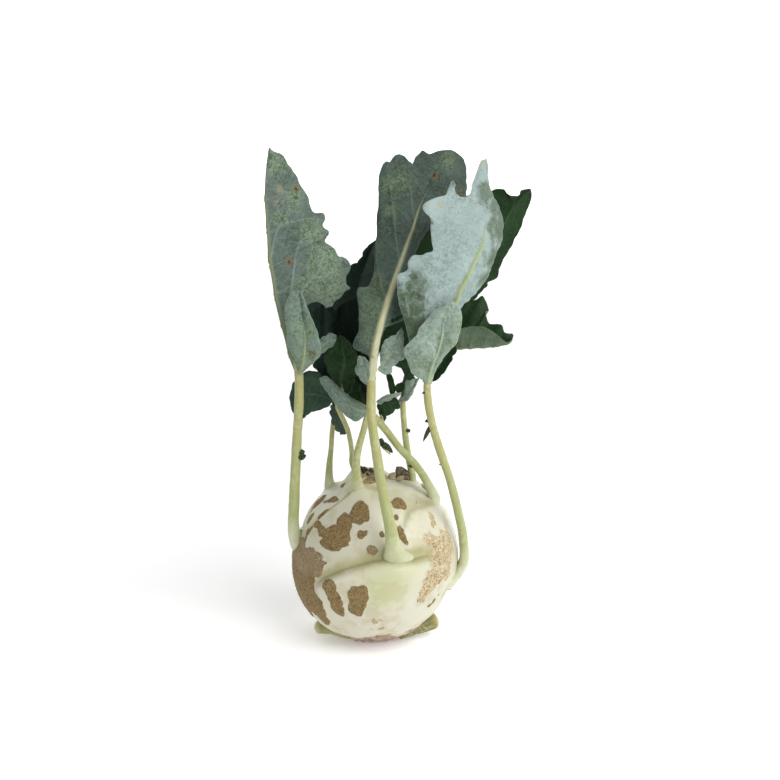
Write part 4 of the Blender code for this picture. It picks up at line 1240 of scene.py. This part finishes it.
# %% Front leaf
blade(
    "blade_front",
    rib=((-1.4, -40.4, 153), (-1.1, -40.1, 158), (-0.3, -39.4, 164.4), (0.7, -38, 170.6), (2, -36, 176.7),
         (3.6, -33.3, 182.8), (5.8, -30.3, 189.6), (8.1, -27.5, 196), (10.2, -25, 202), (12.5, -22, 208.4),
         (15.9, -18, 217.8), (19.5, -14.5, 227.2), (22.8, -10.5, 238), (26.5, -7, 246), (30, -5, 253),
         (34, -2, 260), (37, 0, 268)),
    left=((-2, -39.5, 161), (-3, -39, 166), (-6, -38, 168), (-9, -37, 168.5), (-11, -36, 170.5),
          (-10, -35, 174), (-8, -33, 178), (-8, -31, 183), (-8, -28, 189), (-9, -25, 196),
          (-8, -24, 199), (-5, -23, 199), (-3, -22, 200), (-1, -20, 205), (0, -18, 211), (0, -16, 218),
          (1, -14, 225), (1, -12, 233), (2, -10, 241), (2, -8, 250), (2.5, -7, 256), (4, -6, 260),
          (6, -5, 262.5), (8, -5, 262), (10, -4, 265), (13, -3, 266), (16, -3, 265), (17, -2, 263),
          (19, -1, 262), (20, -1, 261), (21, 0, 264), (23, 1, 266), (25, 1, 268), (27, 1, 267),
          (29, 1, 266), (33, 1, 267.5)),
    right=((1.2, -38, 162), (2.4, -36, 168), (3.4, -34, 174), (5, -32, 178), (7, -30, 180.6),
           (10, -29, 181.2), (13, -28, 182), (17, -27, 183), (19, -26, 189), (18, -25, 196),
           (19, -24, 202), (20, -22, 207), (20, -19, 212), (22, -16, 218), (25, -14, 224),
           (29, -11, 229), (34, -9, 232), (40, -7, 236), (46, -5, 240), (48, -3, 247), (48, -2, 252),
           (48, -1, 258), (47, 0, 262), (46, 1, 264), (43, 1, 266.5), (40, 1, 268)),
    under=1, radius=2.1, rib_end=0.94, rib_fade=0.55, finishes=(UNDER_FRONT, UPPER), cup=1.4, billow=1.4,
    teeth=(0.15, 0.3), columns=34, seed=200,
    veins=(
        ((0, -34, 172), (-3, -34, 172), (-7, -33, 173)),
        ((6, -26, 193), (2, -20, 208), (1, -15, 223)),
        ((13, -20, 209), (11, -14, 225), (9, -8, 243), (7, -5, 255)),
        ((21, -12, 227), (19, -7, 243), (18, -3, 255)),
    ),
    spots=(
        ("rust", 31, 255, 2.3), ("rust", 44, 246, 1.4), ("bare", 8, 250, 5.0), ("bare", 8, 238, 4.0),
        ("green", 8, 246, 1.3), ("green", 8.5, 234, 2.0), ("green", 8, 241, 1.2), ("bare", 38, 262, 5.0),
        ("bare", 14, 252, 6.0), ("bare", 44, 245, 5.0), ("bare", 0, 188, 9.0), ("bare", 1, 176, 8.0),
        ("bare", 0, 200, 6.0), ("pale", 8, 227, 1.2),
    ),
    holes=((9.6, 183.0, 1.15, 0.1), (11.8, 183.9, 1.25, 0.1), (13.9, 184.9, 1.05, 0.1)),
)
blade(
    "lobe_front_right",
    rib=((2, -36, 158), (6, -35, 163), (10, -33, 169), (14, -30, 179)),
    left=((3, -36, 162), (3, -35, 167), (4, -34, 171), (7, -33, 174), (11, -32, 176)),
    right=((5, -36, 156), (8, -35, 156), (9, -35, 159), (12, -34, 162), (15, -33, 164), (15.5, -33, 168),
           (15, -32, 171), (15, -31, 176)),
    under=1, radius=0.5, rib_end=0.6, finishes=FLAP, cup=1.0, billow=0.6, laterals=4, columns=20, seed=210,
)
blade(
    "lobe_front_left",
    rib=((-3, -41, 151), (-4, -41, 156), (-5, -41, 161), (-6, -40, 166)),
    left=((-6, -41, 153), (-9, -40, 157), (-9, -40, 161), (-8, -40, 166)),
    right=((-2, -42, 156), (-2, -42, 161), (-4, -41, 165)),
    under=1, radius=0.4, rib_end=0.6, finishes=FLAP_LEFT, cup=0.3, billow=0.5, laterals=3, columns=16,
    seed=220,
)

# %% [markdown]
# ## The right leaf
# The right leaf faces the window, so its finish is painted palest, and painted shade darkens its low left
# and its right side. It leans out to the right, and a broad flap hangs from its base in front of the stalk.

# %% Right leaf
blade(
    "blade_right",
    rib=((27, -38, 152), (30, -37.5, 164), (35, -37.5, 179), (42, -36, 196), (50, -33, 212), (55, -29, 223),
         (57, -24, 236), (57, -21, 250), (57, -19, 264)),
    left=((25, -38, 153), (22, -37, 159), (19, -38, 168), (17, -39, 177), (15, -39, 185), (13, -40, 191),
          (12, -40, 197), (11.5, -40, 203), (11, -41, 206.5), (13, -40, 208), (15, -40, 208.5),
          (17, -40, 210), (17, -39.5, 213), (18, -39, 215.5), (20, -38.5, 217), (24, -38, 217),
          (26, -37, 218), (29.5, -36.5, 219), (29, -36.5, 223), (28.4, -36.5, 230), (28.6, -36.5, 233.5),
          (28, -36.5, 236), (26, -36.5, 237.8), (24.6, -36.5, 239.4), (24.4, -36.5, 241.4),
          (26, -36, 243.2), (30, -35, 245), (34, -34, 246), (36, -33, 246.5), (37, -32, 248.5),
          (38.2, -31, 251.5), (39.4, -30, 253.5), (40.6, -29.8, 252), (42.5, -29, 250.6),
          (45, -27.5, 250), (47.4, -25.5, 250), (49.2, -24, 251.2), (50.6, -23, 254.5),
          (52.3, -21.5, 259), (54, -20.5, 263)),
    right=((32, -36, 160), (37, -35, 171), (41, -34, 182), (44, -33, 190), (48, -32, 194),
           (53, -29, 199), (58, -26, 205), (61, -22, 211), (63, -19, 216), (66, -16, 221.5),
           (66.5, -14, 227), (66.5, -14, 232), (64, -15, 239), (61, -16, 245), (59, -17, 250),
           (58, -18, 255), (58, -18.5, 260)),
    under=1, radius=2.3, rib_end=0.74, rib_fade=0.12, lead=0.3, finishes=(UNDER_RIGHT, UPPER), cup=1.4,
    billow=1.8, teeth=(0.15, 0.5), columns=34, seed=300,
    veins=(
        ((47, -33, 205), (45, -33, 212), (44, -34, 217)),
        ((26, -39, 179), (26, -39, 195), (25, -40, 205), (23, -39, 210)),
        ((18, -40, 187), (16, -40, 195), (15, -40, 200), (13, -40, 204)),
        ((28, -38, 171), (33, -38, 184), (31, -37, 199)),
    ),
    # Painted shade: the large bare and green spots on the low left and the bare spots on the right side paint
    # those parts darker for the shade that falls there.
    spots=(
        ("pale", 33, 241, 3.4), ("pale", 56, 262, 4.5), ("pale", 27, 241, 2.0), ("bare", 22, 203, 6.0),
        ("bare", 18, 192, 10.0), ("bare", 21, 180, 10.0), ("green", 20, 207, 2.6), ("green", 21, 201, 2.2),
        ("green", 18, 187, 8.0), ("green", 21, 178, 7.0), ("green", 18, 198, 8.0), ("bare", 57, 247, 6.0),
        ("bare", 66, 229, 10.0), ("bare", 63, 213, 8.0), ("bare", 62, 240, 7.0), ("bare", 58, 203, 6.0),
        ("green", 29, 229, 1.1), ("green", 28.8, 224, 1.0), ("green", 28.8, 233, 1.1),
    ),
    holes=((45, 249.6, 4.4, 0.0),),
)
blade(
    "lobe_right",
    rib=((27, -42, 153), (29, -44, 161), (32, -46, 169), (34, -47, 177), (35, -47, 186), (39, -44, 195)),
    left=((25, -42, 154), (23, -42, 155), (19, -43, 158), (17, -44, 164), (15, -45, 169), (16, -46, 173),
          (18, -46, 175), (21, -45, 178), (23, -44, 182), (27, -44, 186), (29, -44, 189), (32, -44, 191),
          (36, -43, 194)),
    right=((29, -43, 155), (32, -44, 161), (36, -46, 168), (41, -47, 174), (43, -47, 181), (44, -46, 186),
           (43, -44, 191)),
    under=1, radius=1.0, rib_end=0.8, finishes=FLAP, cup=1.0, billow=0.8, teeth=(0.3, 0.3), laterals=5,
    seed=310,
    veins=(
        ((29, -44, 159), (30, -46, 170), (26, -46, 176), (24, -45, 183)),
        ((26, -46, 176), (22, -45, 174)),
    ),
    spots=(("rust", 25, 185, 1.3), ("rust", 27, 187, 1.0), ("bare", 36, 172, 6.0), ("bare", 27, 162, 6.0),
           ("bare", 42, 182, 5.0)),
)

# %% [markdown]
# ## The inner leaves on the left
# Between the three big leaves stand younger ones. Most of them turn their dark upper face to the front and
# lie in the shade, and that shade is also painted into their finishes, which is why the middle of the plant
# looks almost black.

# %% Inner leaves on the left
INNER = (UNDER_SHADE, UPPER)
INNER_BLUE = (UNDER_SHADE, UPPER_BLUE)
INNER_DEEP = (UPPER_DEEP, UPPER_DEEP)
blade(
    "blade_back_left",
    rib=((-22, 11, 128), (-20, 14, 148), (-15, 17, 170), (-10, 20, 192), (-5, 22, 207), (0, 23, 219)),
    left=((-31, 15, 144), (-40, 18, 158), (-42, 20, 172), (-40, 22, 184), (-28, 24, 192), (-17, 23, 202),
          (-12.5, 22, 205.5), (-9, 22, 207.5), (-7.5, 22, 210), (-5.5, 22, 214.5), (-2, 22, 217.5)),
    right=((-13, 18, 142), (-2, 27, 160), (7, 33, 181), (11, 32, 199), (6, 27, 213)),
    under=-1, radius=1.4, finishes=INNER_BLUE, cup=3.0, billow=1.8, frill=1.2, teeth=(1.2, 1.2), seed=400,
)
blade(
    "lobe_back_left_hanging",
    rib=((-22, 7, 131), (-21, 5, 123), (-17, 4, 114)),
    left=((-25, 6, 129), (-24, 4, 121), (-20, 4, 115)),
    right=((-19, 5, 128), (-17, 4, 121), (-15, 4, 116)),
    under=-1, radius=0.5, finishes=INNER_BLUE, cup=0.8, billow=0.6, laterals=3, columns=14, seed=410,
)
blade(
    "blade_crown_left",
    rib=((-21, -6, 132), (-24, -4, 146), (-25, -1, 162), (-27, 3, 177), (-28, 6, 187)),
    left=((-26, -6, 142), (-32, -4, 155), (-34, -1, 170), (-33, 3, 182)),
    right=((-18, -5, 144), (-17, -3, 157), (-17, 0, 173), (-22, 4, 184)),
    under=-1, radius=1.4, finishes=INNER_BLUE, cup=2.0, seed=420, columns=22,
)
blade(
    "lobe_crown_left_spreading",
    rib=((-23, -8, 136), (-28, -9, 139), (-36, -10, 140), (-46, -10, 138)),
    left=((-25, -9, 133), (-31, -11, 131), (-38, -12, 129), (-44, -11, 130)),
    right=((-24, -8, 143), (-27, -8, 149), (-31, -8, 152), (-37, -9, 152), (-43, -9, 147)),
    under=1, radius=0.8, finishes=(SPREAD_UNDERSIDE_IN_SHADE, UPPER), cup=1.0, billow=0.9, laterals=4, columns=18,
    seed=430,
)

# %% [markdown]
# ## The inner leaves in front
# Two small leaves grow from the top of the crown and from the right shoulder. A rolled flap of the first
# one lies across the front like a trough.

# %% Inner leaves in front
blade(
    "blade_crown_front",
    rib=((-3, -22, 138), (-4, -18, 147), (-7, -12, 160), (-11, -6, 175), (-15, -1, 189)),
    left=((-8, -15, 147), (-14, -10, 158), (-19, -6, 171), (-20, -2, 184)),
    right=((0, -16, 147), (0, -11, 159), (-3, -6, 175), (-7, -1, 190)),
    under=1, radius=1.5, finishes=INNER_DEEP, cup=1.6, columns=18, seed=500,
)
blade(
    "lobe_crown_front_rolled",
    rib=((-4, -26, 134), (-10, -28, 136), (-17, -28, 141), (-23, -26, 147), (-29, -22, 151)),
    left=((-6, -25, 131), (-11, -26, 129), (-18, -27, 135), (-24, -25, 143), (-28, -22, 148)),
    right=((-6, -25, 137), (-13, -26, 142), (-19, -25, 147), (-25, -22, 152)),
    under=1, radius=0.5, rib_end=0.5, finishes=FLAP_LEFT, cup=1.8, billow=0.8, teeth=(0.3, 0.3), laterals=4,
    columns=18, seed=510,
)
blade(
    "flap_behind_trough",
    rib=((-5, -12, 134), (-8, -11, 141), (-9, -10, 149), (-9, -9, 157)),
    left=((-11, -12, 134), (-15, -11, 141), (-16, -10, 149), (-13, -9, 156)),
    right=((-2, -12, 136), (-1, -11, 142), (-2, -10, 150), (-5, -9, 156)),
    under=-1, radius=0.5, rib_end=0.6, finishes=(UNDER_SHADE, UPPER), cup=0.8, billow=0.7, laterals=3,
    columns=14, seed=530,
)
blade(
    "blade_shoulder_right",
    rib=((-17, -17, 141), (-18, -18, 149), (-16, -19, 159), (-17, -18, 166), (-18, -16, 173)),
    left=((-22, -18, 149), (-26, -18, 159), (-26, -17, 164), (-21, -16, 170)),
    right=((-13, -19, 143), (-10, -20, 152), (-9, -20, 161), (-14, -18, 170)),
    under=-1, radius=1.1, finishes=INNER, cup=1.2, billow=0.9, columns=20, seed=520,
)

# %% [markdown]
# ## The back right leaf
# The largest leaf of all stands behind the others. Only its margin shows, at the top right. One of its
# flaps folds out to the right like an awning, and three small ones hang at the base of the blade.

# %% Back right leaf
blade(
    "blade_back_right",
    rib=((15, -2, 134), (18, 3, 149), (25, 8, 165), (36, 14, 183), (52, 18, 203), (66, 20, 222),
         (78, 20, 241), (84, 20, 247)),
    left=((16, -1, 141), (17, 1, 148), (16, 2, 152), (12, 3, 155), (7, 4, 154), (2, 5, 160), (1, 6, 169),
          (1, 8, 177), (4, 9, 188), (8, 10, 197), (13, 12, 208), (22, 15, 225), (40, 17, 239), (58, 18, 246),
          (63, 19, 246), (69, 19, 247), (72, 19, 244), (77, 20, 243), (79, 20, 246), (83, 20, 247)),
    right=((21, 6, 146), (31, 10, 156), (40, 13, 171), (49, 16, 180), (56, 19, 188), (59, 20, 191),
           (62, 20, 194), (62.5, 21, 196), (67.3, 22, 198), (68.5, 22, 203), (71, 22.5, 209),
           (74.4, 23, 215), (76.6, 23.5, 220), (79.6, 24, 225.5), (81, 24, 230.5), (83.2, 24, 236),
           (84.6, 23, 240), (85, 22, 244)),
    under=-1, radius=1.8, finishes=INNER, cup=1.6, billow=1.6, teeth=(0.8, 0.3), columns=32, seed=600,
    veins=(((71, 20, 228), (72, 20, 231), (75, 20, 237), (78, 20, 243.5)),),
)
blade(
    "lobe_back_right_folded",
    rib=((31, 9, 160), (38, 6, 161), (45, 2, 163), (54, -1, 164), (62, -4, 165), (67, -6, 166), (71, -8, 167),
         (73, -8, 169)),
    left=((33, 12, 163), (39, 13, 174), (46, 14, 182), (56, 15, 188), (59, 15, 189), (62, 13, 182),
          (60, 11, 181), (62, 9, 175), (68, 6, 175), (70, 3, 171), (74, -2, 171)),
    right=((38, 0, 165), (46, -5, 174), (54, -9, 176), (58, -11, 176), (62, -12, 174), (66, -12, 171),
           (70, -10, 168)),
    under=-1, radius=0.8, finishes=(UNDER_FOLDED, UPPER), cup=0.5, billow=0.9, teeth=(0.4, 0.5), columns=24,
    seed=610,
)
blade(
    "lobe_back_right_low",
    rib=((27, -2, 144.5), (31, -3, 149), (36, -4, 156), (40, -5, 163), (42, -5, 168)),
    left=((26, 2, 149), (29, 3, 155), (33, 2, 161), (39, -1, 167)),
    right=((31.5, -6, 146), (35, -7, 149), (38, -7.5, 153), (41.5, -7.5, 159), (43.3, -7, 163),
           (44, -6, 167)),
    under=-1, radius=0.5, finishes=INNER, cup=0.5, billow=0.6, laterals=3, columns=16, seed=620,
)
blade(
    "lobe_back_right_curled",
    rib=((13, -6, 136), (16, -8, 138), (19, -10, 142), (21, -10, 145), (22, -9, 148)),
    left=((16, -7, 140), (16, -8, 145), (18, -8, 148), (20, -8, 150)),
    right=((14, -8, 135), (17, -10, 136), (20, -11, 140), (22, -11, 145), (24, -10, 149)),
    under=1, radius=0.4, rib_end=0.6, finishes=FLAP, cup=0.6, billow=0.5, laterals=3, columns=16, seed=630,
)
blade(
    "lobe_back_right_drooping",
    rib=((13, -6, 135), (9, -8, 134), (5, -9, 133), (2, -9, 129)),
    left=((10, -7, 138), (6, -8, 137), (3, -9, 136), (1, -9, 133)),
    right=((13, -7, 132), (10, -8, 130), (7, -9, 128), (4, -9, 125)),
    under=-1, radius=0.4, rib_end=0.6, finishes=(UPPER, UPPER), cup=0.6, billow=0.6, laterals=3, columns=16,
    seed=640,
)
blade(
    "flap_edge_drooping",
    rib=((14, -9.5, 140), (9, -10.5, 138.6), (4, -11, 137.3), (0.5, -11, 136)),
    left=((10, -10, 140), (5, -10.5, 139)),
    right=((11, -10.5, 138.2), (5, -11.5, 135.8), (2, -11.5, 134.8)),
    under=1, radius=0.3, rib_end=0.6, finishes=(UNDER_FLAP, UNDER_FLAP), cup=0.3, billow=0.3, laterals=2,
    columns=12, seed=650,
)
blade(
    "flap_behind_right",
    rib=((11, -9, 159), (15, -9, 156), (18, -9, 151), (21, -9, 146)),
    left=((12, -9, 156), (15, -9, 152), (17, -9, 148.5)),
    right=((14, -9, 159.5), (18, -9, 156.5), (21, -9, 151.5)),
    under=-1, radius=0.3, rib_end=0.6, finishes=(UPPER, UPPER), cup=0.4, billow=0.4, laterals=2, columns=12,
    seed=680,
)
blade(
    "flap_hook",
    rib=((10, -5, 138), (9, -5, 142), (8, -4, 146), (6, -3, 151)),
    left=((8, -5, 139), (7, -5, 144), (6, -4, 149)),
    right=((11, -5, 141), (10, -4, 146), (9, -4, 149)),
    under=-1, radius=0.3, rib_end=0.6, finishes=(UPPER, UPPER), cup=0.4, billow=0.3, teeth=(0.2, 0.2),
    laterals=2, columns=12, seed=660,
)
blade(
    "flap_between",
    rib=((11, -5, 141), (13, -5, 143), (16, -5, 144)),
    left=((11, -5, 143), (13, -5, 145), (15, -5, 145)),
    right=((12, -5, 139), (14, -5, 140), (16, -5, 142)),
    under=-1, radius=0.3, rib_end=0.6, finishes=INNER, cup=0.3, billow=0.3, laterals=2, columns=12, seed=670,
)

# %% [markdown]
# ## Cut stubs, crown and small things
# Two leaf stalks at the foot of the bulb were cut off short. The growing point on top has died back to a
# dark tuft, with a dry leaf base beside it. Small buds and torn scraps of skin sit on the stalks.

# %% Cut stubs
CUT_LEFT = stalk_finish("left_stub_skin", paint(166, 168, 112), paint(162, 164, 108), paint(204, 198, 158))
CUT_RIGHT = stalk_finish("right_stub_skin", paint(116, 110, 58), paint(134, 130, 74), paint(194, 184, 138))


def stub(name, finish, route, radii, wide, seed):
    steps = round(length_of(route) / 0.6)
    centres = smooth_line(route, steps)
    share = np.linspace(0.0, 1.0, steps + 1)
    radius = np.interp(share, np.linspace(0, 1, len(radii)), radii)
    radius = radius * np.sqrt(np.clip(1 - ease(share, 0.93, 1.0) * 0.75, 0.05, 1))
    points, faces = tube(centres, np.array([0.0, 0.0, 1.0]), radius, wide * radius, seed)
    marks = {"along": np.repeat(ease(share, 0.7, 1.0), STALK_SIDES)}
    make_piece(name, points, faces, [finish], marks)


stub("cut_stub_left", CUT_LEFT, ((-9, -20, 6), (-16, -17, 6.8), (-24, -11, 6.8), (-33.5, -8, 6.8)),
     (2.8, 3.8, 4.0, 5.2), -0.12, 701)
stub("cut_stub_right", CUT_RIGHT, ((13, -15, 5.4), (18, -12, 6.4), (26, -7, 7.6), (34, -2, 8.2)),
     (3.6, 5.0, 5.4, 4.9), -0.1, 702)

# %% Crown bud
def spikes(name, places, finish):
    """Small dry points: (foot, tip, radius) each."""
    points, faces = [], []
    for foot, tip, radius in places:
        centres = smooth_line((foot, tip), 6)
        size = radius * np.sin(math.pi * np.linspace(0.25, 0.96, 7))
        ring, skin = tube(centres, np.array([1.0, 0.2, 0.0]), size, 0.25 * size, len(points))
        faces += [tuple(int(corner) + len(points) for corner in face) for face in skin]
        points += ring.tolist()
    make_piece(name, np.array(points), faces, [finish], {})


spikes(
    "crown_bud",
    (((-5, -3, 89), (-6, -4, 98), 2.8), ((-3, -3, 89), (-2.5, -5, 97.5), 2.4),
     ((-7, -3, 89), (-9.5, -4, 97), 2.0), ((0, -3, 89), (1.5, -4, 96), 2.0),
     ((-6, 0, 89), (-8, 1, 97), 1.8), ((-2, 0, 89), (0, 2, 96.5), 2.0),
     ((-8, -3, 90), (-11.5, -4, 96), 1.1), ((-4, -6, 90), (-4.5, -8.5, 95.5), 1.7)),
    TUFT,
)
blade(
    "dry_leaf_base",
    rib=((15, 0, 86), (15, 1, 91), (14.5, 2, 96.5)),
    left=((11, 0, 88), (11, 1, 92), (11.5, 2, 96)),
    right=((19, 0, 86), (19.5, 1, 89), (19, 2, 93)),
    under=1, radius=0.4, finishes=(WITHERED, WITHERED), cup=0.4, billow=0.4, laterals=2, columns=12, seed=710,
)

# %% Buds and scraps
spikes("left_bud_high",
       (((-39.5, -18, 129.6), (-36.2, -18.5, 130.4), 1.3), ((-39, -18, 131.4), (-37, -18.5, 132), 0.8)),
       BUD_GREEN)
spikes("left_bud_low",
       (((-41, -17, 107), (-36.8, -18, 108), 1.9), ((-41, -17, 109.5), (-37.4, -18, 110.2), 1.6)),
       BUD_GREEN)
spikes("right_scraps", (((27.5, -38, 147.3), (24.3, -38.5, 146.4), 0.8),
                        ((28.5, -34, 131.2), (26, -34.5, 130.6), 0.8),
                        ((29, -33, 128), (25.2, -33, 119.5), 0.9),
                        ((36.5, -24, 104.5), (33.8, -24, 104.8), 0.6)),
       BUD_GREEN)
spikes("shoulder_leaflet", (((2.5, -17, 117), (5, -18, 112), 1.4),
                            ((4, -18, 114.5), (9.5, -17.5, 109.5), 1.7),
                            ((19, -2, 117.5), (15, -1.5, 118.5), 0.9),
                            ((21.5, 1, 97), (18, 0, 97.5), 0.9)),
       BUD_GREEN)
spikes("torn_strips", (((3, -12, 129), (6, -13, 118), 0.8), ((4, -18.5, 113.5), (8.5, -19, 108.5), 0.7),
                       ((8, -5, 92), (11, -7, 95.5), 1.6), ((12, -4, 90.5), (16, -5, 93), 1.2)),
       CREAM_SCRAP)
